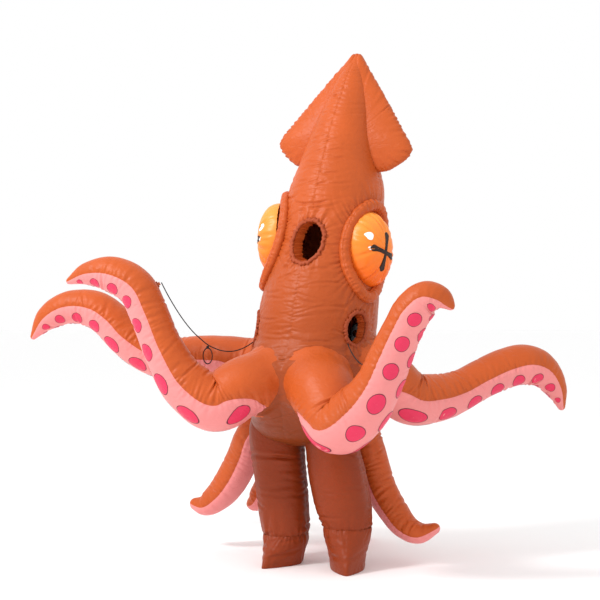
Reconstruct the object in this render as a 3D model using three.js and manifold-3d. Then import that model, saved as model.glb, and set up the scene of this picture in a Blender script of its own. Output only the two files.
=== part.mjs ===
// Child-size inflatable squid costume: a blown trunk with legs, eight tentacles, two eyes,
// a back zip, a blower with its battery pack, and two cords that lift the front tentacles.
// Millimetres, +Z up, the wearer faces -Y. Angles round the trunk run from the front to +X.
import * as THREE from 'three';
import Module from 'manifold-3d';
import { mergeVertices } from 'three/addons/utils/BufferGeometryUtils.js';

const wasm = await Module();
wasm.setup();

// ---- Driving dimensions ------------------------------------------------------------------
const WALL = 5; // sewn skin with its seam allowance, taken as one solid wall
const SEAM_GAP = 0.4; // between two panels sewn edge to edge
const SEWN_ON = 0.6; // between the skin and a piece sewn on top of it
const FLOOR = 25; // the soles' height in the measures below
const ORIGIN = [152.2, -48.9, -FLOOR]; // moves the origin from the trunk to the middle of the base

// Trunk sections: height, centre x, centre y, half width, half depth.
const TRUNK = [
  [480, -35, -10, 60, 60],
  [500, -35, -10, 130, 120],
  [540, -35, -8, 185, 170],
  [600, -28, -5, 212, 195],
  [700, -12, 0, 228, 210],
  [790, 0, 2, 234, 223],
  [908, 11, 10, 234, 225.5],
  [1042, 23, 27, 227, 220],
  [1150, 33, 45, 215, 212],
  [1253, 43, 63, 203, 203],
  [1365, 53, 82, 192, 194],
  [1465, 62, 98, 182, 187],
  [1561, 68, 106, 157, 156],
  [1687, 80, 118, 126, 126],
  [1818, 97, 138, 88, 88],
  [1920, 110, 150, 50, 50],
  [1985, 119, 159, 14, 14],
  [2000, 120, 160, 6, 6],
];
const TRUNK_SIDES = 24;
const PELVIS_TOP = 640;
const MANTLE_BOTTOM = 1440;

// Openings in the trunk: angle, height, half width, half height; and the hem round each.
const FACE = { angle: 0, z: 1253, width: 65, height: 81, hem: 8 };
const ARMHOLE = { angle: 65, z: 927, width: 52, height: 62, hem: 8 };

// Fins: how far they stand out from the mantle's axis, and their stuffed thickness.
const FIN_THICKNESS = 96;
const FIN_OUTLINE = [
  [0, 1990], [12, 2000], [46, 1958], [116, 1868], [190, 1768], [244, 1694], [271, 1656],
  [279, 1630], [264, 1601], [228, 1570], [190, 1548], [150, 1543], [80, 1552], [0, 1565],
];
const FIN_REACH = { left: 0.95, right: 1.05 }; // the turned head makes the right fin wider

// Eyes: angle and height on the trunk, half axes of the blown dome, and the eyelid ring.
const EYE = { angle: 75, z: 1223, raise: 45, set: 190, across: 104, out: 95, up: 145 };
// The head leans to the right, so the left eye sits higher by raise and the fins tilt.
const FIN_LEAN = 0.1;
const EYELID = { across: 116, top: 170, bottom: 178, thick: 27 };

// Tentacles: root centre, root radius, twist of the sole, rings, lifting range,
// and the centre line with the radius at each of its points.
const TENTACLES = {
  front_left: {
    root: [-150, -248, 715], radius: 115, twist: 15, rings: 12,
    path: [[-244, -324, 653, 112], [-340, -379, 720, 98], [-413, -413, 849, 78],
      [-469, -428, 985, 74], [-517, -440, 1078, 74], [-603, -458, 1126, 70],
      [-698, -480, 1131, 46], [-785, -499, 1101, 8]],
  },
  back_left: {
    root: [-282, 40, 780], radius: 105, twist: 18, rings: 12,
    path: [[-385, 8, 793, 100], [-485, -17, 797, 96], [-580, -50, 796, 92],
      [-676, -84, 824, 88], [-772, -118, 892, 84], [-825, -132, 948, 80],
      [-885, -149, 992, 78], [-949, -167, 1008, 72], [-1018, -188, 1000, 65],
      [-1086, -209, 960, 50], [-1151, -228, 878, 8]],
  },
  front_right: {
    root: [158, -242, 700], radius: 122, twist: -12, rings: 12,
    path: [[252, -323, 587, 110], [356, -352, 649, 100], [426, -375, 735, 83],
      [474, -385, 832, 76], [520, -391, 925, 70], [564, -393, 997, 68],
      [612, -387, 1037, 60], [658, -377, 1034, 40], [696, -364, 1000, 8]],
  },
  back_right: {
    root: [282, 40, 745], radius: 105, twist: -18, rings: 12,
    path: [[359, 101, 659, 102], [428, 178, 656, 96], [502, 256, 680, 83],
      [573, 323, 725, 78], [648, 391, 766, 80], [714, 443, 781, 80],
      [769, 491, 756, 68], [811, 528, 688, 46], [834, 549, 601, 10]],
  },
  rear_outer_left: {
    root: [-225, 140, 600], radius: 58, twist: 10, rings: 7,
    path: [[-312, 95, 497, 62], [-358, 108, 400, 68], [-408, 108, 308, 68],
      [-465, 103, 240, 60], [-524, 92, 201, 45], [-587, 79, 211, 16]],
  },
  rear_inner_left: {
    root: [-104, 196, 585], radius: 52, twist: 0, rings: 7,
    path: [[-195, 245, 470, 56], [-262, 270, 370, 60], [-330, 280, 270, 58],
      [-385, 280, 200, 44], [-425, 270, 180, 16]],
  },
  rear_outer_right: {
    root: [150, 130, 600], radius: 58, twist: 0, rings: 7,
    path: [[152, 172, 497, 62], [172, 190, 400, 64], [205, 190, 300, 64],
      [262, 185, 215, 60], [315, 175, 162, 52], [375, 165, 142, 42], [462, 150, 176, 16]],
  },
  rear_inner_right: {
    root: [14, 205, 585], radius: 52, twist: 0, rings: 7,
    path: [[-10, 305, 465, 56], [-20, 372, 350, 60], [-30, 430, 235, 62],
      [-40, 477, 150, 62], [-45, 518, 89, 60], [-45, 572, 87, 44], [-45, 618, 106, 16]],
  },
};
const UPPER_SPAN = 105; // the upper skin reaches this far each way from the back line, degrees
const FACET = 30; // degrees between the corners of a tentacle's ring
const AIR_PORT = 25; // half angle of the hole in a root dome that lets the air in, degrees
const SOCKET_GAP = 6; // round a tentacle's root dome
const HIP_GAP = 5; // round a hip

// Legs: hip centre, ankle centre, and radii from the hip down. Each foot has its own turn.
const HIP_RADIUS = 104;
const HIP_SWING = [-20, 0, 8]; // forwards, straight and backwards, degrees
const LEG_PORT = 55; // half angle of the open top of a leg, degrees
const LEG_SIDES = 14;
const LEGS = {
  left: { hip: [-150, -10, 530], ankle: [-100, -20, 137], radii: [106, 104, 101, 98, 90], turn: -8 },
  right: { hip: [78, -10, 530], ankle: [157, -20, 180], radii: [104, 109, 110, 108, 94], turn: 22 },
};
const SHOE = { width: 64, toe: 150, heel: 80 };

// Back zip, laid on the straight back line of the trunk.
const ZIP = { bottom: 830, top: 1430, tape: 14, tapeThick: 1.6, coil: 2.6, coilHigh: 3.2 };

// Blower and battery pack in the back of the torso.
const FAN = { angle: 150, z: 900, flange: 52, tube: 45, bore: 41, depth: 32 };
const PACK = { angle: -150, z: 905, width: 66, depth: 20, height: 72, wall: 2, pocket: 7 };
const CELL = { radius: 7.2, length: 50 };

// Free cords: 4 mm round, points from the tentacle's tab to the cuff.
const CORD_RADIUS = 2;
const CORD_STEPS = 28;
const CORD_LEFT = [
  [-438, -386, 1099], [-420, -368, 1051], [-402, -349, 1008], [-385, -330, 970],
  [-367, -312, 937], [-349, -294, 908], [-331, -275, 885], [-314, -256, 866],
  [-296, -238, 853], [-278, -220, 844], [-260, -201, 840], [-242, -182, 841],
  [-225, -164, 847], [-207, -146, 858], [-189, -127, 874],
];
const CORD_RIGHT = [
  [469, -359, 995], [450, -342, 953], [431, -326, 916], [412, -309, 884],
  [394, -293, 858], [375, -276, 836], [356, -260, 820], [337, -243, 808],
  [318, -226, 802], [299, -210, 801], [280, -193, 805], [262, -177, 814],
  [243, -160, 828], [224, -144, 848], [205, -127, 872],
];

// ---- Finishes ----------------------------------------------------------------------------
const LOOKS = {
  nylon: [0xe2804f, 0.45], nylonDark: [0xa8522c, 0.5], sole: [0xf0a6a2, 0.5],
  eye: [0xfb9a45, 0.35], elastic: [0x9a4526, 0.8], zipTape: [0x5c3020, 0.8],
  zipMetal: [0x9a9690, 0.35, 1], plastic: [0x1d1d20, 0.5], motor: [0xb4b4b8, 0.35, 1],
  cell: [0x3a6a48, 0.4], cable: [0x151515, 0.6], cord: [0x101010, 0.8],
};

function finish(look) {
  const [color, roughness, metalness = 0] = LOOKS[look];
  return new THREE.MeshStandardMaterial({ color, roughness, metalness });
}

// ---- Solids ------------------------------------------------------------------------------
const rad = THREE.MathUtils.degToRad;
const vector = (list) => new THREE.Vector3(...list);

// A closed triangle mesh as a solid, turned right side out if it was inside out.
function solidFrom(geometry, matrix = new THREE.Matrix4()) {
  const bare = geometry.clone();
  bare.deleteAttribute('normal');
  bare.deleteAttribute('uv');
  bare.applyMatrix4(matrix);
  const merged = mergeVertices(bare);
  const place = merged.attributes.position;
  const corner = [new THREE.Vector3(), new THREE.Vector3(), new THREE.Vector3()];
  const faces = [];
  let volume = 0;
  for (let i = 0; i < merged.index.count; i += 3) {
    const face = [0, 1, 2].map((k) => merged.index.getX(i + k));
    if (new Set(face).size < 3) continue;
    face.forEach((index, k) => corner[k].fromBufferAttribute(place, index));
    volume += corner[0].dot(corner[1].clone().cross(corner[2]));
    faces.push(face);
  }
  if (volume < 0) faces.forEach((face) => face.reverse());
  return new wasm.Manifold(new wasm.Mesh({
    numProp: 3,
    vertProperties: new Float32Array(place.array),
    triVerts: new Uint32Array(faces.flat()),
  }));
}

function solidOf(points, faces) {
  const geometry = new THREE.BufferGeometry().setFromPoints(points);
  geometry.setIndex(faces);
  return solidFrom(geometry);
}

// A solid through a stack of rings, closed at both ends by a fan.
function loft(rings) {
  const sides = rings[0].length;
  const points = rings.flat();
  const faces = [];
  for (let i = 0; i + 1 < rings.length; i += 1) {
    for (let j = 0; j < sides; j += 1) {
      const a = i * sides + j;
      const b = i * sides + (j + 1) % sides;
      faces.push(a, b, b + sides, a, b + sides, a + sides);
    }
  }
  const last = (rings.length - 1) * sides;
  const middle = (ring) => ring.reduce((sum, p) => sum.add(p), new THREE.Vector3())
    .divideScalar(sides);
  points.push(middle(rings[0]), middle(rings.at(-1)));
  for (let j = 0; j < sides; j += 1) {
    const next = (j + 1) % sides;
    faces.push(next, j, points.length - 2);
    faces.push(last + j, last + next, points.length - 1);
  }
  return solidOf(points, faces);
}

// A wall of even thickness on a surface. point(row, column, inset) gives the surface and,
// with an inset, the inside of the wall. With wrap the columns close into a ring.
function wallOn(point, rows, columns, wrap = false) {
  const points = [];
  for (const inset of [0, WALL]) {
    for (const row of rows) for (const column of columns) points.push(point(row, column, inset));
  }
  const at = (layer, i, j) => (layer * rows.length + i) * columns.length + (j % columns.length);
  const faces = [];
  const quad = (a, b, c, d) => faces.push(a, b, c, a, c, d);
  const lastRow = rows.length - 1;
  const lastColumn = wrap ? columns.length : columns.length - 1;
  for (let i = 0; i < lastRow; i += 1) {
    for (let j = 0; j < lastColumn; j += 1) {
      quad(at(0, i, j), at(0, i, j + 1), at(0, i + 1, j + 1), at(0, i + 1, j));
      quad(at(1, i, j), at(1, i + 1, j), at(1, i + 1, j + 1), at(1, i, j + 1));
    }
    if (wrap) continue;
    quad(at(0, i, 0), at(0, i + 1, 0), at(1, i + 1, 0), at(1, i, 0));
    quad(at(0, i, lastColumn), at(1, i, lastColumn), at(1, i + 1, lastColumn),
      at(0, i + 1, lastColumn));
  }
  for (let j = 0; j < lastColumn; j += 1) {
    quad(at(0, 0, j), at(1, 0, j), at(1, 0, j + 1), at(0, 0, j + 1));
    quad(at(0, lastRow, j), at(0, lastRow, j + 1), at(1, lastRow, j + 1), at(1, lastRow, j));
  }
  return solidOf(points, faces);
}

// A round tube along a closed loop of points that goes round the given middle.
// radius may be a number or a function of the point's number.
function loopTube(path, middle, radius, sides = 8) {
  const count = path.length;
  const points = [];
  path.forEach((centre, i) => {
    const along = path[(i + 1) % count].clone().sub(path[(i + count - 1) % count]).normalize();
    const out = centre.clone().sub(middle);
    out.addScaledVector(along, -out.dot(along)).normalize();
    const across = along.clone().cross(out);
    const size = typeof radius === 'function' ? radius(i) : radius;
    for (let j = 0; j < sides; j += 1) {
      const turn = (2 * Math.PI * j) / sides;
      points.push(centre.clone().addScaledVector(out, size * Math.cos(turn))
        .addScaledVector(across, size * Math.sin(turn)));
    }
  });
  const faces = [];
  for (let i = 0; i < count; i += 1) {
    for (let j = 0; j < sides; j += 1) {
      const a = i * sides + j;
      const b = i * sides + (j + 1) % sides;
      const c = ((i + 1) % count) * sides + (j + 1) % sides;
      const d = ((i + 1) % count) * sides + j;
      faces.push(a, b, c, a, c, d);
    }
  }
  return solidOf(points, faces);
}

function openTube(path, radius, steps, sides = 8) {
  const section = new THREE.Shape();
  for (let j = 0; j < sides; j += 1) {
    const turn = (2 * Math.PI * j) / sides;
    section[j ? 'lineTo' : 'moveTo'](radius * Math.cos(turn), radius * Math.sin(turn));
  }
  const curve = new THREE.CatmullRomCurve3(path);
  return solidFrom(new THREE.ExtrudeGeometry(section, { steps, extrudePath: curve }));
}

const translation = (x, y, z) => new THREE.Matrix4().makeTranslation(x, y, z);
const block = (w, d, h, x = 0, y = 0, z = 0) => solidFrom(
  new THREE.BoxGeometry(w, d, h), translation(x, y, z));
const ball = (radius, [x, y, z], across = 16, up = 8) => solidFrom(
  new THREE.SphereGeometry(radius, across, up), translation(x, y, z));
// Turned about the local Y axis from [radius, height] points.
const turned = (profile, sides = 20) => solidFrom(new THREE.LatheGeometry(
  [...profile, profile[0]].map(([r, h]) => new THREE.Vector2(r, h)), sides));
const washer = (inner, outer, low, high, sides = 20) => turned(
  [[inner, low], [outer, low], [outer, high], [inner, high]], sides);
const disc = (radius, low, high, sides = 24) => turned(
  [[0, low], [radius, low], [radius, high], [0, high]], sides);

const joined = (list) => list.reduce((sum, next) => sum.add(next));
const largestOf = (solid) => solid.decompose().sort((a, b) => b.volume() - a.volume())[0];
const cutBy = (base, cutters) => cutters.reduce((left, cutter) => left.subtract(cutter), base);

const costume = new THREE.Group();
costume.position.set(...ORIGIN);

// Adds a solid to the model as a named mesh.
function piece(name, solid, look, parent = costume) {
  const { vertProperties, triVerts } = solid.getMesh();
  const geometry = new THREE.BufferGeometry();
  geometry.setAttribute('position', new THREE.BufferAttribute(vertProperties, 3));
  geometry.setIndex(new THREE.BufferAttribute(triVerts, 1));
  geometry.computeVertexNormals();
  const mesh = new THREE.Mesh(geometry, finish(look));
  mesh.name = name;
  parent.add(mesh);
  return mesh;
}

// ---- Trunk -------------------------------------------------------------------------------
function trunkSection(z) {
  const above = Math.max(1, TRUNK.findIndex(([height]) => height >= z));
  const [low, high] = [TRUNK[above - 1], TRUNK[above]];
  const part = (z - low[0]) / (high[0] - low[0]);
  const [, x, y, width, depth] = low.map((value, k) => value + (high[k] - value) * part);
  return { x, y, width, depth };
}

function trunkPoint(z, degrees, offset = 0) {
  const { x, y, width, depth } = trunkSection(z);
  const [across, deep] = [width, depth].map((half) => Math.max(half + offset, 1));
  return new THREE.Vector3(
    x + across * Math.sin(rad(degrees)), y - deep * Math.cos(rad(degrees)), z);
}

// Where a piece sits on the skin: local -Y looks straight out of it and local Z runs up it.
function skinPlace(z, degrees, offset = 0) {
  const up = trunkPoint(z + 40, degrees).sub(trunkPoint(z - 40, degrees)).normalize();
  const across = trunkPoint(z, degrees + 5).sub(trunkPoint(z, degrees - 5));
  const inward = up.clone().cross(across).normalize();
  const middle = trunkPoint(z, degrees).addScaledVector(inward, -offset);
  return new THREE.Matrix4().makeBasis(inward.clone().cross(up), inward, up)
    .setPosition(middle);
}

// A group placed by a matrix.
function groupAt(matrix) {
  const group = new THREE.Group();
  matrix.decompose(group.position, group.quaternion, group.scale);
  costume.add(group);
  return group;
}

function trunkHeights(bottom, top) {
  return [bottom, ...TRUNK.map(([z]) => z).filter((z) => z > bottom && z < top), top];
}

function trunkSolid(offset, bottom, top) {
  const turns = Array.from({ length: TRUNK_SIDES }, (_, j) => (360 * j) / TRUNK_SIDES);
  return loft(trunkHeights(bottom, top).map(
    (z) => turns.map((turn) => trunkPoint(z, turn, offset))));
}

// A panel of trunk skin between two seam angles. Its side edges stop half a seam gap short.
function trunkPanel(bottom, top, from, to) {
  const steps = Math.round((Math.abs(to - from) * TRUNK_SIDES) / 360);
  const columns = Array.from({ length: steps + 1 }, (_, j) => ({
    angle: from + ((to - from) * j) / steps,
    edge: (j === 0) - (j === steps),
  }));
  const point = (z, { angle, edge }, inset) => {
    const gap = THREE.MathUtils.radToDeg(SEAM_GAP / 2 / trunkSection(z).width);
    return trunkPoint(z, angle + edge * gap * Math.sign(to - from), -inset);
  };
  return wallOn(point, trunkHeights(bottom + SEAM_GAP / 2, top - SEAM_GAP / 2), columns);
}

// The closed line of an opening's hem, in the middle of the skin.
function hemPath({ angle, z, width, height }, count = 18) {
  return Array.from({ length: count }, (_, i) => {
    const turn = (2 * Math.PI * i) / count;
    const level = z + height * Math.sin(turn);
    const side = Math.asin((width * Math.cos(turn)) / trunkSection(level).width);
    return trunkPoint(level, angle + THREE.MathUtils.radToDeg(side), -WALL / 2);
  });
}

// What an opening takes out of the skin: the hole itself and room for its hem.
function openingCutter(opening) {
  const { angle, z, width, height, hem } = opening;
  const middle = trunkPoint(z, angle);
  const hole = new THREE.CylinderGeometry(1, 1, 160, 18);
  const matrix = new THREE.Matrix4().makeRotationZ(rad(angle)).setPosition(middle)
    .scale(new THREE.Vector3(width, 1, height));
  return solidFrom(hole, matrix).add(loopTube(hemPath(opening), middle, hem + SEWN_ON, 6));
}

function addHem(name, opening) {
  const middle = trunkPoint(opening.z, opening.angle);
  piece(name, loopTube(hemPath(opening), middle, opening.hem, 6), 'elastic');
}

const sideOf = { left: -1, right: 1 };
const mirroredArmhole = (side) => ({ ...ARMHOLE, angle: sideOf[side] * ARMHOLE.angle });

// Room for the root dome of each tentacle, and for the first of its tube.
function socketCutters() {
  return Object.values(TENTACLES).flatMap((tentacle) => {
    const stub = [0, 0.06, 0.12, 0.18].map((place) => {
      const { centre, up, side, radius } = tentacleFrame(tentacle, place);
      return Array.from({ length: 16 }, (_, j) => centre.clone()
        .addScaledVector(up, (radius + SOCKET_GAP) * Math.cos((Math.PI * j) / 8))
        .addScaledVector(side, (radius + SOCKET_GAP) * Math.sin((Math.PI * j) / 8)));
    });
    return [ball(tentacle.radius + SOCKET_GAP, tentacle.root), loft(stub)];
  });
}

// Room for a leg: the ball of the hip, and the leg below it in each limit of its swing.
function hipCutters() {
  const down = new THREE.Vector3(0, -1, 0);
  return Object.values(LEGS).flatMap(({ hip, ankle }) => {
    const centre = new THREE.Matrix4().setPosition(...hip);
    const along = new THREE.Vector3(...ankle).sub(new THREE.Vector3(...hip)).normalize();
    const lean = new THREE.Matrix4().makeRotationFromQuaternion(
      new THREE.Quaternion().setFromUnitVectors(down, along));
    const rooms = HIP_SWING.map((degrees) => solidFrom(
      new THREE.CylinderGeometry(HIP_RADIUS + HIP_GAP, HIP_RADIUS + HIP_GAP, 160, 20),
      centre.clone().multiply(new THREE.Matrix4().makeRotationX(rad(degrees)))
        .multiply(lean).multiply(translation(0, -80, 0))));
    return [ball(HIP_RADIUS + HIP_GAP, hip), ...rooms];
  });
}

function fanHole() {
  const hole = new THREE.CylinderGeometry(FAN.tube + 1, FAN.tube + 1, 80, 24);
  return solidFrom(hole, skinPlace(FAN.z, FAN.angle));
}

function addTrunk() {
  const cutters = [
    openingCutter(FACE), openingCutter(mirroredArmhole('left')),
    openingCutter(mirroredArmhole('right')), fanHole(), ...socketCutters(), ...hipCutters(),
  ];
  for (const [side, sign] of Object.entries(sideOf)) {
    piece(`mantle_${side}_panel`, trunkPanel(MANTLE_BOTTOM, 2000 + SEAM_GAP / 2, 0, 180 * sign),
      'nylon');
    piece(`torso_front_${side}_panel`,
      cutBy(trunkPanel(PELVIS_TOP, MANTLE_BOTTOM, 0, 90 * sign), cutters), 'nylon');
    piece(`torso_back_${side}_panel`,
      cutBy(trunkPanel(PELVIS_TOP, MANTLE_BOTTOM, 90 * sign, 180 * sign), cutters), 'nylon');
  }
  const pelvis = trunkSolid(0, TRUNK[0][0], PELVIS_TOP - SEAM_GAP / 2)
    .subtract(trunkSolid(-WALL, TRUNK[0][0] + WALL, PELVIS_TOP + WALL));
  piece('pelvis_gusset', largestOf(cutBy(pelvis, cutters)), 'nylon');
  addHem('face_opening_hem', FACE);
  for (const side of ['left', 'right']) addHem(`arm_cuff_${side}`, mirroredArmhole(side));
}

// ---- Fins --------------------------------------------------------------------------------
// A stuffed pillow on an outline: rings shrink to the middle as the thickness grows.
function addFins() {
  const mantle = trunkSolid(SEWN_ON, MANTLE_BOTTOM, 2000);
  const heights = [-1, -0.9, -0.6, -0.2, 0.2, 0.6, 0.9, 1];
  for (const [side, sign] of Object.entries(sideOf)) {
    const edge = FIN_OUTLINE.map(([reach, z]) => {
      const { x, y } = trunkSection(Math.min(z, 2000));
      const out = sign * reach * FIN_REACH[side];
      return new THREE.Vector3(x + out, y, Math.min(z - out * FIN_LEAN, 2000));
    });
    const { x: innerX, y: innerY } = trunkSection(1690);
    const inner = new THREE.Vector3(innerX + sign * 60, innerY, 1690 - sign * 60 * FIN_LEAN);
    const rings = heights.map((level) => {
      const shrink = Math.max(Math.sqrt(1 - level * level), 0.12);
      return edge.map((p) => {
        const point = inner.clone().lerp(p, shrink);
        point.y += (level * FIN_THICKNESS) / 2;
        return point;
      });
    });
    piece(`fin_${side}`, loft(rings).subtract(mantle), 'nylon');
  }
}

// ---- Eyes --------------------------------------------------------------------------------
const eyeHeight = (sign) => EYE.z + (sign < 0 ? EYE.raise : 0);

function eyeBall(sign, grow) {
  const height = eyeHeight(sign);
  const { x, y } = trunkSection(height);
  const turn = rad(sign * EYE.angle);
  const matrix = new THREE.Matrix4().makeRotationZ(turn)
    .setPosition(x + EYE.set * Math.sin(turn), y - EYE.set * Math.cos(turn), height)
    .scale(new THREE.Vector3(EYE.across + grow, EYE.out + grow, EYE.up + grow));
  return solidFrom(new THREE.SphereGeometry(1, 16, 10), matrix);
}

// The almond line that the eyelid follows, pointed at the bottom.
function eyelidPath(sign, count = 20) {
  return Array.from({ length: count }, (_, i) => {
    const turn = (2 * Math.PI * i) / count;
    const rise = Math.cos(turn) * (Math.cos(turn) > 0 ? EYELID.top : EYELID.bottom);
    const taper = Math.cos(turn) < 0 ? 1 - 0.3 * Math.cos(turn) ** 2 : 1;
    const z = eyeHeight(sign) + rise;
    const side = THREE.MathUtils.radToDeg(
      (EYELID.across * Math.sin(turn) * taper) / trunkSection(z).width);
    return trunkPoint(z, sign * EYE.angle + side, EYELID.thick * 0.25);
  });
}

function addEyes() {
  const trunk = trunkSolid(SEWN_ON, 900, 1600);
  for (const [side, sign] of Object.entries(sideOf)) {
    piece(`eye_dome_${side}`, eyeBall(sign, 0).subtract(eyeBall(sign, -WALL)).subtract(trunk),
      'eye');
    const middle = trunkPoint(eyeHeight(sign), sign * EYE.angle);
    const lid = loopTube(eyelidPath(sign), middle, EYELID.thick, 7);
    piece(`eyelid_${side}`, lid.subtract(trunk).subtract(eyeBall(sign, SEWN_ON)), 'nylon');
  }
}

// ---- Tentacles ---------------------------------------------------------------------------
// Centre, radius and directions of a tentacle at a place along it, from 0 at the root
// centre to 1 at the tip. up points to the back line, away from the sole.
function tentacleFrame({ root, radius, twist, path }, place) {
  const centres = [vector(root), ...path.map(([x, y, z]) => new THREE.Vector3(x, y, z))];
  const radii = [radius, ...path.map((point) => point[3])];
  const curve = new THREE.CatmullRomCurve3(centres);
  const outward = centres.at(-1).clone().sub(centres[0]).setZ(0).normalize();
  const level = new THREE.Vector3(0, 0, 1).cross(outward);
  const along = curve.getTangent(place);
  const up = along.clone().cross(level).normalize();
  up.applyAxisAngle(along, rad(twist));
  const side = along.clone().cross(up);
  const step = Math.min(Math.floor(place * (radii.length - 1)), radii.length - 2);
  const part = place * (radii.length - 1) - step;
  return {
    centre: curve.getPoint(place), along, up, side,
    radius: radii[step] + (radii[step + 1] - radii[step]) * part,
  };
}

function tentacleRows(tentacle) {
  const root = tentacleFrame(tentacle, 0);
  const dome = [AIR_PORT, (AIR_PORT + 90) / 2].map((degrees) => ({
    ...root,
    centre: root.centre.clone().addScaledVector(root.along, -root.radius * Math.cos(rad(degrees))),
    radius: root.radius * Math.sin(rad(degrees)),
  }));
  const body = Array.from({ length: tentacle.rings + 1 }, (_, i) => tentacleFrame(
    tentacle, i / tentacle.rings));
  return [...dome, ...body];
}

function tentacleSkin(rows, from, to) {
  const steps = Math.round((to - from) / FACET);
  const columns = Array.from({ length: steps + 1 }, (_, j) => ({
    angle: from + FACET * j,
    edge: (j === 0) - (j === steps),
  }));
  const point = ({ centre, radius, up, side }, { angle, edge }, inset) => {
    const turn = rad(angle) + (edge * SEAM_GAP) / 2 / radius;
    const reach = Math.max(radius - inset, 2);
    return centre.clone().addScaledVector(up, reach * Math.cos(turn))
      .addScaledVector(side, reach * Math.sin(turn));
  };
  return wallOn(point, rows, columns);
}

function addTentacles() {
  for (const [name, tentacle] of Object.entries(TENTACLES)) {
    const rows = tentacleRows(tentacle);
    piece(`tentacle_${name}_upper`, tentacleSkin(rows, -UPPER_SPAN, UPPER_SPAN), 'nylon');
    piece(`tentacle_${name}_sole`, tentacleSkin(rows, UPPER_SPAN, 360 - UPPER_SPAN), 'sole');
  }
}

// ---- Legs --------------------------------------------------------------------------------
function addLeg(side, { hip, ankle, radii, turn }) {
  const hipCentre = vector(hip);
  const ankleCentre = vector(ankle);
  const zone = [LEG_PORT, (LEG_PORT + 90) / 2, 90].map((degrees) => ({
    centre: hipCentre.clone().setZ(hipCentre.z + HIP_RADIUS * Math.cos(rad(degrees))),
    radius: HIP_RADIUS * Math.sin(rad(degrees)),
  }));
  const tube = radii.map((radius, i) => ({
    centre: hipCentre.clone().lerp(ankleCentre, (i + 1) / radii.length), radius,
  }));
  const columns = Array.from({ length: LEG_SIDES }, (_, j) => (2 * Math.PI * j) / LEG_SIDES);
  const point = ({ centre, radius }, angle, inset) => new THREE.Vector3(
    centre.x + (radius - inset) * Math.cos(angle),
    centre.y + (radius - inset) * Math.sin(angle), centre.z);
  piece(`leg_${side}`, wallOn(point, [...zone, ...tube], columns, true), 'nylonDark');
  addShoeCover(side, ankleCentre, radii.at(-1), turn);
}

// A shoe cover is a hollow wedge: a pointed flat sole that rises to the round ankle.
function addShoeCover(side, ankle, ankleRadius, turn) {
  const top = ankle.z - SEAM_GAP - FLOOR;
  const shoe = new THREE.Group();
  shoe.position.set(ankle.x, ankle.y, FLOOR);
  shoe.rotation.z = rad(turn);
  costume.add(shoe);
  const ring = (share, z, inset) => Array.from({ length: LEG_SIDES }, (_, j) => {
    const angle = (2 * Math.PI * j) / LEG_SIDES;
    const forward = Math.cos(angle);
    const reach = forward > 0 ? SHOE.toe : SHOE.heel;
    const pinch = 1 - 0.3 * Math.max(forward, 0) * (1 - share);
    const along = (reach + (ankleRadius - reach) * share - inset) * forward;
    const wide = (SHOE.width + (ankleRadius - SHOE.width) * share - inset) * pinch;
    return new THREE.Vector3(wide * Math.sin(angle), -along, z);
  });
  const levels = [[0, 0], [0.02, 0.14], [0.22, 0.42], [0.62, 0.75], [1, 1]];
  const outer = loft(levels.map(([share, rise]) => ring(share, rise * top, 0)));
  const inner = loft([...levels.map(([share, rise]) => ring(
    share, WALL + rise * (top - WALL), WALL)), ring(1, top + WALL, WALL)]);
  piece(`shoe_cover_${side}`, outer.subtract(inner), 'nylonDark', shoe);
}

// ---- Back zip ----------------------------------------------------------------------------
function addZip() {
  const start = trunkPoint(ZIP.bottom, 180);
  const along = trunkPoint(ZIP.top, 180).sub(start);
  const length = along.length();
  along.normalize();
  const across = new THREE.Vector3(1, 0, 0).addScaledVector(along, -along.x).normalize();
  const out = along.clone().cross(across);
  const zip = groupAt(new THREE.Matrix4().makeBasis(across, out, along).setPosition(start));
  const tapeLow = SEWN_ON + 0.4;
  const coilTop = tapeLow + ZIP.coilHigh;
  for (const [side, sign] of Object.entries(sideOf)) {
    const tape = block(ZIP.tape, ZIP.tapeThick, length,
      sign * (SEAM_GAP / 2 + ZIP.tape / 2), tapeLow + ZIP.tapeThick / 2, length / 2);
    const coil = block(ZIP.coil, ZIP.coilHigh, length,
      sign * (SEAM_GAP / 2 + ZIP.coil / 2), tapeLow + ZIP.coilHigh / 2, length / 2);
    piece(`zip_stringer_${side}`, tape.add(coil), 'zipTape', zip);
  }
  const pivot = length - 13;
  const bar = coilTop + 4.6; // the pull's crossbar, under the slider's arch
  const slider = joined([block(11, 2.4, 17, 0, coilTop + 1.6, length - 12),
    block(4, 1.8, 10, 0, bar + 2.5, pivot), block(4, 5.6, 1.6, 0, bar + 0.6, pivot - 4.2),
    block(4, 5.6, 1.6, 0, bar + 0.6, pivot + 4.2)]);
  piece('zip_slider', slider, 'zipMetal', zip);
  const pull = block(9, 1.8, 32, 0, bar, pivot - 15.1)
    .subtract(block(4.8, 4, 6.8, 0, bar, pivot - 4.3));
  piece('zip_pull', pull, 'zipMetal', zip);
}

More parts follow.
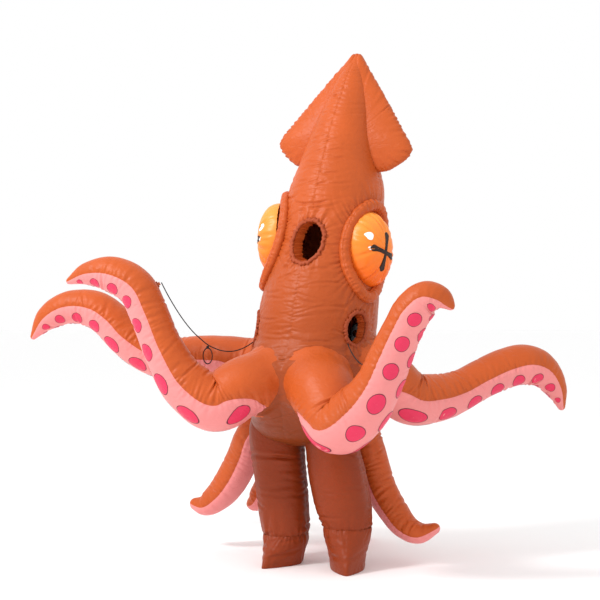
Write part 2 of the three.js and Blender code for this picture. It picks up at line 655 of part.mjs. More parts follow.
// ---- Blower ------------------------------------------------------------------------------
function addFan() {
  const group = groupAt(skinPlace(FAN.z, FAN.angle, 1));
  const fan = new THREE.Group();
  fan.rotation.x = Math.PI; // heights of the turned pieces now point outwards
  group.add(fan);
  const spokes = (count, low, high, inner, outer, width) => Array.from(
    { length: count }, (_, i) => solidFrom(
      new THREE.BoxGeometry(outer - inner, high - low, width),
      new THREE.Matrix4().makeRotationY((2 * Math.PI * i) / count)
        .multiply(translation((inner + outer) / 2, (low + high) / 2, 0))));
  const shell = turned([[FAN.bore, -FAN.depth], [FAN.tube, -FAN.depth], [FAN.tube, 0],
    [FAN.flange, 0], [FAN.flange, 3], [FAN.bore, 3]]);
  piece('fan_housing', joined([shell, washer(14.4, 18, -30, -26, 14),
    ...spokes(3, -30, -26, 17, 42, 4)]), 'plastic', fan);
  piece('fan_clamp_ring', washer(FAN.tube + 0.4, FAN.flange + 2, -17, -13), 'plastic', fan);
  piece('fan_grille', joined([disc(11, 0, 2, 12), washer(21, 23.5, 0, 2, 12),
    washer(37.5, FAN.bore - 0.4, 0, 2), ...spokes(6, 0, 2, 9, 38.5, 2.2)]), 'plastic', fan);
  piece('fan_motor', disc(14, -42, -18, 16).add(disc(1, -19, -6, 8)), 'motor', fan);
  const blades = Array.from({ length: 7 }, (_, i) => solidFrom(
    new THREE.BoxGeometry(26, 1.6, 13),
    new THREE.Matrix4().makeRotationY((2 * Math.PI * i) / 7)
      .multiply(translation(26, -9, 0)).multiply(new THREE.Matrix4().makeRotationX(rad(38)))));
  const hub = disc(15, -15, -4, 16).subtract(disc(1.5, -20, -5, 8));
  piece('fan_impeller', joined([hub, ...blades]).subtract(disc(1.5, -20, -5, 8)),
    'plastic', fan);
}

// ---- Battery pack ------------------------------------------------------------------------
// Stands in an inside pocket. Local +Y looks into the trunk, and so does the lid.
function addPack() {
  const reach = -WALL - PACK.pocket - PACK.depth / 2;
  const pack = groupAt(skinPlace(PACK.z, PACK.angle, reach));
  const { width, depth, height, wall } = PACK;
  const tray = block(width, depth, height)
    .subtract(block(width - 2 * wall, depth, height - 2 * wall, 0, wall, 0));
  const switchSlot = block(14, 5, 6, 18, 0, height / 2);
  piece('battery_case', tray.subtract(switchSlot), 'plastic', pack);
  piece('battery_lid', block(width, 2.2, height, 0, depth / 2 + 1.5, 0)
    .add(block(width / 2, 1.4, 3, 0, depth / 2 + 3, height / 2 - 8)), 'plastic', pack);
  piece('power_switch', block(8, 4, 8, 16, 0, height / 2 + 1), 'plastic', pack);
  for (let i = 0; i < 4; i += 1) {
    const cell = solidFrom(new THREE.LatheGeometry([[0, -CELL.length / 2],
      [CELL.radius, -CELL.length / 2], [CELL.radius, CELL.length / 2 - 2],
      [2.6, CELL.length / 2 - 2], [2.6, CELL.length / 2], [0, CELL.length / 2]]
      .map(([r, h]) => new THREE.Vector2(r, h)), 12));
    const mesh = piece(`battery_cell_${i + 1}`, cell, 'cell', pack);
    mesh.position.set((i - 1.5) * 15.2, 0.6, -6);
    mesh.rotation.x = (i % 2 ? 1 : -1) * Math.PI / 2;
  }
  const route = Array.from({ length: 7 }, (_, i) => trunkPoint(
    853 - 10 * Math.sin((Math.PI * i) / 6), -146 - 58 * (i / 6), -40 - 6 * (i / 6)));
  piece('fan_cable', openTube(route, 2.5, 18), 'cable');
}

// ---- Puppet cords ------------------------------------------------------------------------
// A webbing tab on a front tentacle, the free cord, and the wrist loop knotted on it.
function addCord(side, points, place, knotAt) {
  const { centre, up, along, side: across, radius } = tentacleFrame(
    TENTACLES[`front_${side}`], place);
  const tab = groupAt(new THREE.Matrix4().makeBasis(across, up, along)
    .setPosition(centre.clone().addScaledVector(up, radius + SEWN_ON)));
  piece(`cord_tab_${side}`, block(16, 3, 22, 0, 1.5, 0).add(block(4, 9, 12, 0, 6, 0)),
    'elastic', tab);
  const path = points.map(vector);
  piece(`cord_${side}`, openTube(path, CORD_RADIUS, CORD_STEPS), 'cord');
  const knot = path[knotAt].clone();
  knot.z -= CORD_RADIUS + 7.4;
  const loop = Array.from({ length: 16 }, (_, i) => {
    const turn = (2 * Math.PI * i) / 16;
    return new THREE.Vector3(knot.x + 20 * Math.sin(turn), knot.y, knot.z - 33 + 30 * Math.cos(turn));
  });
  piece(`wrist_loop_${side}`, ball(6, knot.toArray(), 8, 6)
    .add(loopTube(loop, knot.clone().setZ(knot.z - 33), 2.2, 6)), 'cord');
}

addTrunk();
addFins();
addEyes();
addTentacles();
addLeg('left', LEGS.left);
addLeg('right', LEGS.right);
addZip();
addFan();
addPack();
addCord('left', CORD_LEFT, 0.59, 7);
addCord('right', CORD_RIGHT, 0.6, 7);

export default costume;
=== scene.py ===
"""Looks of the inflatable squid costume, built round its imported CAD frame."""
import math

import bpy
import numpy as np
from mathutils import Matrix, Vector, noise


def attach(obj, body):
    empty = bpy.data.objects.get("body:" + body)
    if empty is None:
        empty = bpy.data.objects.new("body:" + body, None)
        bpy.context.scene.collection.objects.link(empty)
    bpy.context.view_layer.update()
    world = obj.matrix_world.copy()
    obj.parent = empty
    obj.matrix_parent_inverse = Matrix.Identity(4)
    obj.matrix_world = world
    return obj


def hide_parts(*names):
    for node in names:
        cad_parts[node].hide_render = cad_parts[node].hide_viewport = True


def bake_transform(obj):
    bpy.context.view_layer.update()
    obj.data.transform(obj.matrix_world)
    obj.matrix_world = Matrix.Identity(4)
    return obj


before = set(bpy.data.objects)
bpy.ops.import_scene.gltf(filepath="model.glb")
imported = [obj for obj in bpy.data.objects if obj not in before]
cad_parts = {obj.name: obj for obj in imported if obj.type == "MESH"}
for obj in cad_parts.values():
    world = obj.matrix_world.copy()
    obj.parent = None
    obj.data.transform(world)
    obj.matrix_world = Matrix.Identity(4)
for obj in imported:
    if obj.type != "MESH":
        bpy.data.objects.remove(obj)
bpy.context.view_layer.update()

# ---- Design sizes, millimetres unless a name says otherwise ----
MM = 0.001
FLOOR = 25  # the soles' height in the measures below
ORIGIN = np.array([152.2, -48.9, -FLOOR])  # the trunk's axis, seen from the frame's origin
# Trunk sections: height, centre x, centre y, half width, half depth.
TRUNK = np.array([
    [480, -35, -10, 60, 60], [500, -35, -10, 130, 120], [540, -35, -8, 185, 170],
    [600, -28, -5, 212, 195], [700, -12, 0, 228, 210], [790, 0, 2, 234, 223],
    [908, 11, 10, 234, 225.5], [1042, 23, 27, 227, 220], [1150, 33, 45, 215, 212],
    [1253, 43, 63, 203, 203], [1365, 53, 82, 192, 194], [1465, 62, 98, 182, 187],
    [1561, 68, 106, 157, 156], [1687, 80, 118, 126, 126], [1818, 97, 138, 88, 88],
    [1920, 110, 150, 50, 50], [1985, 119, 159, 14, 14], [2000, 120, 160, 6, 6]], float)
FACE = dict(angle=0, z=1253, width=65, height=81, hem=8)
ARMHOLE = dict(angle=65, z=927, width=52, height=62, hem=8)
FAN = dict(angle=150, z=900, hole=46)
EYE = dict(angle=75, z=1223, raise_left=45, set=190, across=104, out=95, up=145)
EYELID = dict(across=116, top=170, bottom=178, thick=27)
FIN_LEAN = 0.1  # the head leans to the right, which tilts the fins
FIN_REACH = dict(left=0.95, right=1.05)  # the turned head makes the right fin wider
FIN_THICKNESS = 96
FIN_OUTLINE = [(0, 1990), (12, 2000), (46, 1958), (116, 1868), (190, 1768), (244, 1694),
               (271, 1656), (279, 1630), (264, 1601), (228, 1570), (190, 1548), (150, 1543),
               (80, 1552), (0, 1565)]
SOLE_EDGE = 105  # degrees from the back line to the seam beside the sole
TENTACLES = {
    "front_left": dict(root=(-150, -248, 715), radius=115, twist=15, path=[
        (-244, -324, 653, 112), (-340, -379, 720, 98), (-413, -413, 849, 78),
        (-469, -428, 985, 74), (-517, -440, 1078, 74), (-603, -458, 1126, 70),
        (-698, -480, 1131, 46), (-785, -499, 1101, 8)]),
    "back_left": dict(root=(-282, 40, 780), radius=105, twist=18, path=[
        (-385, 8, 793, 100), (-485, -17, 797, 96), (-580, -50, 796, 92),
        (-676, -84, 824, 88), (-772, -118, 892, 84), (-825, -132, 948, 80),
        (-885, -149, 992, 78), (-949, -167, 1008, 72), (-1018, -188, 1000, 65),
        (-1086, -209, 960, 50), (-1151, -228, 878, 8)]),
    "front_right": dict(root=(158, -242, 700), radius=122, twist=-12, sole_from=-0.1, path=[
        (252, -323, 587, 110), (356, -352, 649, 100), (426, -375, 735, 83),
        (474, -385, 832, 76), (520, -391, 925, 70), (564, -393, 997, 68),
        (612, -387, 1037, 60), (658, -377, 1034, 40), (696, -364, 1000, 8)]),
    "back_right": dict(root=(282, 40, 745), radius=105, twist=-18, path=[
        (359, 101, 659, 102), (428, 178, 656, 96), (502, 256, 680, 83),
        (573, 323, 725, 78), (648, 391, 766, 80), (714, 443, 781, 80),
        (769, 491, 756, 68), (811, 528, 688, 46), (834, 549, 601, 10)]),
    "rear_outer_left": dict(root=(-225, 140, 600), radius=58, twist=10, path=[
        (-312, 95, 497, 62), (-358, 108, 400, 68), (-408, 108, 308, 68),
        (-465, 103, 240, 60), (-524, 92, 201, 45), (-587, 79, 211, 16)]),
    "rear_inner_left": dict(root=(-104, 196, 585), radius=52, twist=0, path=[
        (-195, 245, 470, 56), (-262, 270, 370, 60), (-330, 280, 270, 58),
        (-385, 280, 200, 44), (-425, 270, 180, 16)]),
    "rear_outer_right": dict(root=(150, 130, 600), radius=58, twist=0, path=[
        (152, 172, 497, 62), (172, 190, 400, 64), (205, 190, 300, 64),
        (262, 185, 215, 60), (315, 175, 162, 52), (375, 165, 142, 42), (462, 150, 176, 16)]),
    "rear_inner_right": dict(root=(14, 205, 585), radius=52, twist=0, path=[
        (-10, 305, 465, 56), (-20, 372, 350, 60), (-30, 430, 235, 62),
        (-40, 477, 150, 62), (-45, 518, 89, 60), (-45, 572, 87, 44), (-45, 618, 106, 16)]),
}
HIP_RADIUS = 104
LEGS = {
    "left": dict(hip=(-150, -10, 530), ankle=(-100, -20, 137), turn=-8,
                 radii=(106, 104, 101, 98, 90)),
    "right": dict(hip=(78, -10, 530), ankle=(157, -20, 180), turn=22,
                  radii=(104, 109, 110, 108, 94)),
}
SHOE = dict(width=64, toe=158, heel=76, lift=34)
ZIP = dict(bottom=830, top=1430)
CORD_WIDTH = 4
CORDS = {
    "left": [(-438, -386, 1099), (-420, -368, 1051), (-402, -349, 1008), (-385, -330, 970),
             (-367, -312, 937), (-349, -294, 909), (-331, -275, 886), (-314, -256, 866),
             (-296, -238, 853), (-278, -220, 844), (-260, -201, 840), (-242, -182, 841),
             (-225, -164, 847), (-207, -146, 858), (-189, -127, 874)],
    "right": [(469, -359, 995), (450, -342, 953), (431, -326, 916), (412, -309, 884),
              (394, -293, 858), (375, -276, 836), (356, -260, 820), (337, -243, 808),
              (318, -226, 802), (299, -210, 801), (280, -193, 805), (262, -177, 815),
              (243, -160, 828), (224, -144, 847), (205, -127, 872)],
}


# ---- Camera, light and floor ----
def metres(point):
    """A design point, in millimetres from the trunk's axis, in the frame's metres."""
    return (np.asarray(point, float) + ORIGIN) * MM


VIEW_TURN = math.radians(25)  # the camera stands this far round from the front
VIEW_DISTANCE = 5.0
VIEW_HEIGHT = 1.0
LENS_MM = 78.1
AIM_LEFT = 0.046
AIM_UP = 0.035


def add_camera():
    camera = bpy.data.objects.new("camera", bpy.data.cameras.new("camera"))
    bpy.context.scene.collection.objects.link(camera)
    axis = Vector(metres((0, 0, 0)))
    right = Vector((math.cos(VIEW_TURN), math.sin(VIEW_TURN), 0))
    away = Vector((-math.sin(VIEW_TURN), math.cos(VIEW_TURN), 0))
    camera.location = axis - away * VIEW_DISTANCE + Vector((0, 0, VIEW_HEIGHT))
    target = axis - right * AIM_LEFT + Vector((0, 0, VIEW_HEIGHT + AIM_UP))
    camera.rotation_euler = (target - camera.location).to_track_quat("-Z", "Y").to_euler()
    camera.data.lens = LENS_MM
    camera.data.clip_end = 60
    bpy.context.scene.camera = camera


def area_light(name, place, target, size, watts, colour=(1, 1, 1)):
    light = bpy.data.lights.new(name, "AREA")
    light.shape = "RECTANGLE"
    light.size, light.size_y = size
    light.energy = watts
    light.color = colour
    lamp = bpy.data.objects.new(name, light)
    bpy.context.scene.collection.objects.link(lamp)
    lamp.location = place
    lamp.rotation_euler = (Vector(target) - Vector(place)).to_track_quat("-Z", "Y").to_euler()


def add_stage():
    world = bpy.data.worlds.new("studio")
    world.use_nodes = True
    background = world.node_tree.nodes["Background"]
    background.inputs["Color"].default_value = (1, 1, 1, 1)
    background.inputs["Strength"].default_value = 1.0
    bpy.context.scene.world = world
    bpy.context.scene.view_settings.view_transform = "Standard"
    area_light("key", (-1.9, -3.3, 4.0), (0.1, 0, 1.2), (0.9, 0.9), 150)
    floor = grid_object("floor", np.array([
        [[-14, -14, 0], [14, -14, 0]], [[-14, 14, 0], [14, 14, 0]]], float) * (4, 4, 1))
    floor.location.z = -0.0005
    material, _ = node_material("floor_white", (0.99, 0.99, 0.99), 0.9)
    floor.data.materials.append(material)


# ---- Mesh helpers ----
def mesh_object(name, vertices, faces, smooth=True):
    mesh = bpy.data.meshes.new(name)
    mesh.from_pydata([tuple(v) for v in vertices], [], [tuple(f) for f in faces])
    mesh.validate()
    if smooth:
        mesh.polygons.foreach_set("use_smooth", [True] * len(mesh.polygons))
    thing = bpy.data.objects.new(name, mesh)
    bpy.context.scene.collection.objects.link(thing)
    return thing


def grid_faces(rows, columns, wrap=False):
    """Quads of a grid of vertices, outward when columns run anticlockwise seen from the end."""
    across = columns if wrap else columns - 1
    i, j = np.meshgrid(np.arange(rows - 1), np.arange(across), indexing="ij")
    a = i * columns + j
    b = i * columns + (j + 1) % columns
    return np.stack([a, b, b + columns, a + columns], -1).reshape(-1, 4)


def grid_object(name, places, wrap=False):
    rows, columns = places.shape[:2]
    return mesh_object(name, places.reshape(-1, 3), grid_faces(rows, columns, wrap))


def vertex_normals(vertices, faces):
    """Area-weighted normals of a quad mesh."""
    p = vertices[faces]
    face_normal = np.cross(p[:, 2] - p[:, 0], p[:, 3] - p[:, 1])
    total = np.zeros_like(vertices)
    for k in range(4):
        np.add.at(total, faces[:, k], face_normal)
    return total / np.maximum(np.linalg.norm(total, axis=1, keepdims=True), 1e-12)


def sub_object(name, vertices, faces, normals):
    """A piece of a larger mesh that keeps the larger mesh's shading across its edges."""
    used = np.unique(faces)
    remap = np.full(len(vertices), -1)
    remap[used] = np.arange(len(used))
    piece = mesh_object(name, vertices[used], remap[faces])
    piece.data.normals_split_custom_set_from_vertices([tuple(n) for n in normals[used]])
    return piece


def smooth_table(table, heights):
    """Smooth values between the rows of a table whose first column is the height."""
    z = table[:, 0]
    slope = np.gradient(table[:, 1:], z, axis=0)
    k = np.clip(np.searchsorted(z, heights) - 1, 0, len(z) - 2)
    step = (z[k + 1] - z[k])
    t = np.clip((heights - z[k]) / step, 0, 1)[..., None]
    step = step[..., None]
    a, b = table[k, 1:], table[k + 1, 1:]
    return ((2 * t**3 - 3 * t**2 + 1) * a + (t**3 - 2 * t**2 + t) * step * slope[k]
            + (3 * t**2 - 2 * t**3) * b + (t**3 - t**2) * step * slope[k + 1])


def between(a, b, from_knot, to_knot, t):
    return ((to_knot - t) * a + (t - from_knot) * b) / (to_knot - from_knot)


def catmull(points, count):
    """Evenly spaced places on a centripetal curve through points, whose columns after the
    third are carried along. Returns the places and the length up to each."""
    p = np.asarray(points, float)
    p = np.vstack([2 * p[0] - p[1], p, 2 * p[-1] - p[-2]])
    dense = []
    for k in range(1, len(p) - 2):
        knots = np.cumsum([0] + [max(np.linalg.norm(p[k + m][:3] - p[k + m - 1][:3]), 1e-6) ** 0.5
                                 for m in (0, 1, 2)])
        t = np.linspace(knots[1], knots[2], 24, endpoint=k == len(p) - 3)[:, None]
        a1 = between(p[k - 1], p[k], knots[0], knots[1], t)
        a2 = between(p[k], p[k + 1], knots[1], knots[2], t)
        a3 = between(p[k + 1], p[k + 2], knots[2], knots[3], t)
        b1 = between(a1, a2, knots[0], knots[2], t)
        b2 = between(a2, a3, knots[1], knots[3], t)
        dense.append(between(b1, b2, knots[1], knots[2], t))
    dense = np.vstack(dense)
    run = np.concatenate([[0], np.cumsum(np.linalg.norm(np.diff(dense[:, :3], axis=0), axis=1))])
    even = np.linspace(0, run[-1], count)
    return np.stack([np.interp(even, run, column) for column in dense.T], -1), even


def unit(v):
    return v / np.maximum(np.linalg.norm(v, axis=-1, keepdims=True), 1e-12)


# ---- Sewn and blown fabric ----
# Gathers: their spacing along the seam, width, reach from it and depth, in millimetres.
GATHERS = dict(
    chest_seam=(15, 3.6, 70, 2.6), mantle_seam=(16, 3.6, 74, 2.6), side_seam=(17, 3.6, 50, 3.0),
    trunk_root=(16, 5, 34, 3.2), tentacle_root=(15, 4.6, 34, 3.2), upper_seam=(13, 4.4, 34, 3.6),
    sole_seam=(13, 4.4, 26, 2.4), fin_edge=(15, 4.6, 34, 4.4), eye_edge=(20, 5.5, 46, 6.0),
    eyelid_edge=(18, 4.4, 40, 3.4), leg_seam=(16, 4.8, 26, 2.4), leg_ankle=(17, 5, 34, 3.2),
    shoe_ankle=(16, 5, 32, 3.0), shoe_sole=(15, 4.6, 20, 2.2))


def gathers(rng, along, away, start, end, spacing, width, reach, depth):
    """Height of the gathers that run off a seam. along is the place on the seam and away
    the distance from it, both in millimetres. Each gather is a valley between two folds."""
    height = np.zeros_like(away)
    place = start
    while place < end:
        place += spacing * rng.uniform(0.45, 1.6)
        wide = width * rng.uniform(0.6, 1.5)
        long = reach * rng.uniform(0.35, 1.7)
        deep = depth * rng.uniform(0.35, 1.3)
        slant = rng.uniform(-0.4, 0.4)
        near = (away < 3.5 * long) & (np.abs(along - place) < 6 * wide + 0.4 * away + 20)
        if not near.any():
            continue
        run, off = along[near], away[near]
        x = (run - place - slant * off) / (wide * (1 + 0.6 * off / long))
        fold = -np.exp(-x * x) + 0.45 * np.exp(-(x - 1.8) ** 2) + 0.45 * np.exp(-(x + 1.8) ** 2)
        height[near] += deep * fold * np.exp(-(off / long) ** 1.3)
    return height


def wander(places, size, seed):
    """Slow uneven swelling of a blown skin, from -1 to 1, with waves of the given size."""
    offset = Vector((seed * 7.31, seed * 3.17, seed * 1.73))
    return np.array([noise.noise(Vector(p) / size + offset) for p in places.reshape(-1, 3)]
                    ).reshape(places.shape[:-1])


# ---- Materials ----
def node_material(name, colour, roughness, metallic=0.0):
    material = bpy.data.materials.new(name)
    material.use_nodes = True
    shader = material.node_tree.nodes["Principled BSDF"]
    shader.inputs["Base Color"].default_value = (*colour, 1)
    shader.inputs["Roughness"].default_value = roughness
    shader.inputs["Metallic"].default_value = metallic
    return material, shader


def link(material, source, target):
    material.node_tree.links.new(source, target)


def add_node(material, kind, **values):
    node = material.node_tree.nodes.new(kind)
    for key, value in values.items():
        if key in node.inputs:
            node.inputs[key].default_value = value
        else:
            setattr(node, key, value)
    return node


def coordinates(material, stretch=(1, 1, 1)):
    where = add_node(material, "ShaderNodeTexCoord")
    mapping = add_node(material, "ShaderNodeMapping")
    mapping.inputs["Scale"].default_value = stretch
    link(material, where.outputs["Object"], mapping.inputs["Vector"])
    return mapping.outputs["Vector"]


def mottle(material, shader, colour, spread, scale):
    """Colour that drifts a little either side of the given one."""
    texture = add_node(material, "ShaderNodeTexNoise", Scale=scale, Detail=4.0)
    link(material, coordinates(material), texture.inputs["Vector"])
    ramp = add_node(material, "ShaderNodeValToRGB")
    low, high = ramp.color_ramp.elements
    low.position, high.position = 0.3, 0.7
    low.color = (*[c * (1 - spread) for c in colour], 1)
    high.color = (*[min(c * (1 + spread), 1) for c in colour], 1)
    link(material, texture.outputs["Fac"], ramp.inputs["Fac"])
    link(material, ramp.outputs["Color"], shader.inputs["Base Color"])
    return ramp


def bumps(material, shader, layers):
    """Stacks bump layers of (height socket, strength, distance in metres)."""
    normal = None
    for height, strength, distance in layers:
        bump = add_node(material, "ShaderNodeBump", Strength=strength, Distance=distance)
        link(material, height, bump.inputs["Height"])
        if normal:
            link(material, normal, bump.inputs["Normal"])
        normal = bump.outputs["Normal"]
    link(material, normal, shader.inputs["Normal"])


def colour_by_height(material, shader, low_z, high_z, stops):
    """Colours that run up the object, from (share of the height, colour) stops."""
    where = add_node(material, "ShaderNodeTexCoord")
    split = add_node(material, "ShaderNodeSeparateXYZ")
    link(material, where.outputs["Object"], split.inputs["Vector"])
    height = add_node(material, "ShaderNodeMapRange")
    height.inputs["From Min"].default_value = low_z
    height.inputs["From Max"].default_value = high_z
    link(material, split.outputs["Z"], height.inputs["Value"])
    ramp = add_node(material, "ShaderNodeValToRGB")
    low, high = ramp.color_ramp.elements
    (low.position, low_colour), *middle, (high.position, high_colour) = stops
    low.color, high.color = (*low_colour, 1), (*high_colour, 1)
    for share, colour in middle:
        ramp.color_ramp.elements.new(share).color = (*colour, 1)
    link(material, height.outputs["Result"], ramp.inputs["Fac"])
    link(material, ramp.outputs["Color"], shader.inputs["Base Color"])


def weave_height(material, threads):
    """Over-and-under of a plain weave with the given number of threads per metre."""
    outs = []
    for direction in ("X", "Z"):
        wave = add_node(material, "ShaderNodeTexWave", Scale=threads / 6.283,
                        bands_direction=direction, Distortion=0.4)
        link(material, coordinates(material), wave.inputs["Vector"])
        outs.append(wave.outputs["Fac"])
    product = add_node(material, "ShaderNodeMath", operation="MULTIPLY")
    link(material, outs[0], product.inputs[0])
    link(material, outs[1], product.inputs[1])
    return product.outputs[0]


def taffeta(name, colour, roughness=0.42, spread=0.06, gloss=0.22):
    """Thin coated nylon: small crinkles, a fine weave and a soft gloss."""
    material, shader = node_material(name, colour, roughness)
    mottle(material, shader, colour, spread, 6.0)
    crinkle = add_node(material, "ShaderNodeTexNoise", Scale=38.0, Detail=5.0, Roughness=0.55,
                       Distortion=0.6)
    link(material, coordinates(material, (1, 1, 1.6)), crinkle.inputs["Vector"])
    bumps(material, shader, [
        (crinkle.outputs["Fac"], 0.45, 0.007),
        (weave_height(material, 900), 0.12, 0.0004)])
    shader.inputs["Specular IOR Level"].default_value = gloss
    return material


TORSO_PAINTED_SHADE_HEIGHTS = (0.50, 1.42)  # heights in metres over which painted shade darkens the torso downwards
# Painted shade: factors on the torso's colour from the bottom (0) to the top (1) of those heights.
TORSO_PAINTED_SHADE_STOPS = [(0, 0.44), (0.42, 0.76), (1, 1)]


def torso_cloth_with_painted_shade(name, colour):
    """The same nylon, painted darker from the eyes down to the pelvis: painted shade under light
    from above.
    """
    material = taffeta(name, colour, 0.4)
    shader = material.node_tree.nodes["Principled BSDF"]
    stops = [(share, [c * dim for c in colour]) for share, dim in TORSO_PAINTED_SHADE_STOPS]
    colour_by_height(material, shader, *TORSO_PAINTED_SHADE_HEIGHTS, stops)
    return material


def plain_plastic(name, colour, roughness=0.45):
    material, shader = node_material(name, colour, roughness)
    mottle(material, shader, colour, 0.15, 40.0)
    grain = add_node(material, "ShaderNodeTexNoise", Scale=900.0, Detail=2.0)
    link(material, coordinates(material), grain.inputs["Vector"])
    bumps(material, shader, [(grain.outputs["Fac"], 0.2, 0.0003)])
    return material


def brushed_metal(name, colour, roughness=0.32):
    material, shader = node_material(name, colour, roughness, 1.0)
    mottle(material, shader, colour, 0.08, 60.0)
    grain = add_node(material, "ShaderNodeTexNoise", Scale=700.0, Detail=3.0)
    link(material, coordinates(material, (1, 1, 8)), grain.inputs["Vector"])
    bumps(material, shader, [(grain.outputs["Fac"], 0.15, 0.0002)])
    return material


def woven_tape(name, colour, ribs=500):
    material, shader = node_material(name, colour, 0.85)
    mottle(material, shader, colour, 0.12, 30.0)
    bumps(material, shader, [(weave_height(material, ribs), 0.5, 0.0008)])
    return material


def eye_cloth_with_painted_light_and_shade(name):
    """Orange taffeta that fades from a lighter yellow at the top to a darker red at the bottom:
    painted light and shade, as if lit from above.
    """
    colour = (0.98, 0.42, 0.10)
    material, shader = node_material(name, colour, 0.35)
    # painted light and shade: lighter and yellower at the top, darker and redder at the bottom
    colour_by_height(material, shader, (EYE["z"] - EYE["up"]) * MM, (EYE["z"] + EYE["up"]) * MM,
                     [(0.08, (0.92, 0.16, 0.012)), (0.5, (0.93, 0.24, 0.022)),
                      (0.95, (0.96, 0.32, 0.05))])
    crinkle = add_node(material, "ShaderNodeTexNoise", Scale=42.0, Detail=4.0, Distortion=0.5)
    link(material, coordinates(material), crinkle.inputs["Vector"])
    bumps(material, shader, [(crinkle.outputs["Fac"], 0.3, 0.004),
                             (weave_height(material, 900), 0.12, 0.0004)])
    shader.inputs["Specular IOR Level"].default_value = 0.3
    return material


def make_materials():
    return {
        "nylon": taffeta("taffeta_brown", (0.51, 0.090, 0.016), 0.4),
        # the torso's nylon carries painted shade, darker towards the pelvis
        "torso": torso_cloth_with_painted_shade("taffeta_torso_painted_shade", (0.51, 0.090, 0.016)),
        # a darker copy of the brown nylon for the legs and shoe covers: partly a darker cloth,
        # partly painted shade under the tentacles
        "nylon_dark": taffeta("taffeta_darker_and_painted_shade", (0.25, 0.036, 0.007), 0.42, gloss=0.2),
        "sole": taffeta("taffeta_pink", (0.80, 0.26, 0.25), 0.45, 0.03),
        "sucker": taffeta("print_sucker", (0.74, 0.035, 0.10), 0.42, 0.04),
        "outline": taffeta("print_outline", (0.10, 0.015, 0.03), 0.5, 0.04),
        # the eye's colour carries painted light at its top and painted shade at its bottom
        "eye": eye_cloth_with_painted_light_and_shade("taffeta_eye_painted_light_and_shade"),
        "white": taffeta("print_white", (0.95, 0.93, 0.9), 0.4, 0.01),
        "pupil": taffeta("print_pupil", (0.035, 0.018, 0.014), 0.5, 0.1),
        "elastic": taffeta("gathered_hem", (0.34, 0.060, 0.018), 0.6),
        "zip_tape": woven_tape("zip_tape", (0.16, 0.04, 0.02)),
        "zip_metal": brushed_metal("zip_metal", (0.5, 0.48, 0.44)),
        "plastic": plain_plastic("black_plastic", (0.018, 0.018, 0.02)),
        "motor": brushed_metal("motor_can", (0.55, 0.55, 0.58)),
        "cell": plain_plastic("cell_sleeve", (0.04, 0.16, 0.08), 0.35),
        "cable": plain_plastic("cable_sleeve", (0.012, 0.012, 0.012), 0.5),
        "cord": woven_tape("braided_cord", (0.012, 0.012, 0.013), 1400),
        "webbing": woven_tape("brown_webbing", (0.42, 0.10, 0.035), 700),
    }


def dress(piece, material, slot, body, *nodes):
    """Gives a finished piece its material and body and hides the nodes it stands for; the slot is
    not used.
    """
    piece.data.materials.append(PAINT[material])
    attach(piece, body)
    if nodes:
        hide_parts(*nodes)
    return piece


def dress_bending(piece, material, slot, bodies, start, end, *nodes):
    """Gives a finished piece its material, bakes its placing into its mesh and hides the nodes it
    stands for; the slot, the two bodies and the two places are not used.
    """
    piece.data.materials.append(PAINT[material])
    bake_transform(piece)
    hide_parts(*nodes)
    return piece


# ---- Trunk ----
def trunk_section(z):
    return np.moveaxis(smooth_table(TRUNK, np.asarray(z, float)), -1, 0)


def trunk_place(z, degrees, out=0.0):
    """Points on the trunk in design millimetres."""
    x, y, wide, deep = trunk_section(z)
    turn = np.radians(degrees)
    return np.stack([x + (wide + out) * np.sin(turn), y - (deep + out) * np.cos(turn),
                     np.broadcast_to(z, np.shape(x + turn))], -1)


def trunk_lean(z):
    """Cosine of the angle between the trunk's skin and the upright, at a height."""
    rate = (trunk_section(z + 8)[2] - trunk_section(z - 8)[2]) / 16
    return 1 / np.sqrt(1 + rate * rate)


def off_trunk(points):
    """How far points stand off the trunk's skin, in millimetres, about."""
    z = np.clip(points[..., 2], 490, 1990)
    x, y, wide, deep = trunk_section(z)
    reach = np.hypot((points[..., 0] - x) / wide, (points[..., 1] - y) / deep)
    return (reach - 1) * (wide + deep) / 2 * trunk_lean(z)


def smooth_min(a, b, reach):
    """The smaller of two distances, rounded where they are nearly alike."""
    near = np.maximum(reach - np.abs(a - b), 0) / reach
    return np.minimum(a, b) - near * near * reach / 4


def tube_distance(points, centres, radii):
    best = np.full(points.shape[:-1], 1e6)
    for centre, radius in zip(centres, radii):
        best = np.minimum(best, np.linalg.norm(points - centre, axis=-1) - radius)
    return best


def turn_between(a, b):
    return (a - b + 180) % 360 - 180


def opening_plane(opening, z, degrees):
    """Place across and up from an opening's middle, in millimetres."""
    across = np.radians(turn_between(degrees, opening["angle"])) * trunk_section(z)[2]
    return across, z - opening["z"]


def openings():
    return [FACE, ARMHOLE, dict(ARMHOLE, angle=-ARMHOLE["angle"]),
            dict(angle=FAN["angle"], z=FAN["z"], width=FAN["hole"], height=FAN["hole"])]


TRUNK_ROWS, TRUNK_COLUMNS = 400, 320
PELVIS_TOP, MANTLE_BOTTOM = 640, 1440


def trunk_grid():
    """Heights and angles of the trunk's grid, with its lines drawn onto the openings' rims.
    The last column repeats the first."""
    z = np.concatenate([[480, 484, 490], np.linspace(500, 1990, TRUNK_ROWS - 5), [1996, 2000]])
    heights, angles = np.meshgrid(z, np.linspace(0, 360, TRUNK_COLUMNS + 1), indexing="ij")
    inside = np.zeros(heights.shape, bool)
    for hole in openings():
        across, up = opening_plane(hole, heights, angles)
        share = np.hypot(across / hole["width"], up / hole["height"])
        within = share < 1
        pull = np.where(within, 1 / np.maximum(share, 0.2), 1)
        angles = angles + np.where(within, np.degrees(across * (pull - 1)
                                                      / trunk_section(heights)[2]), 0)
        heights = heights + np.where(within, up * (pull - 1), 0)
        inside |= within
    return heights, angles, inside


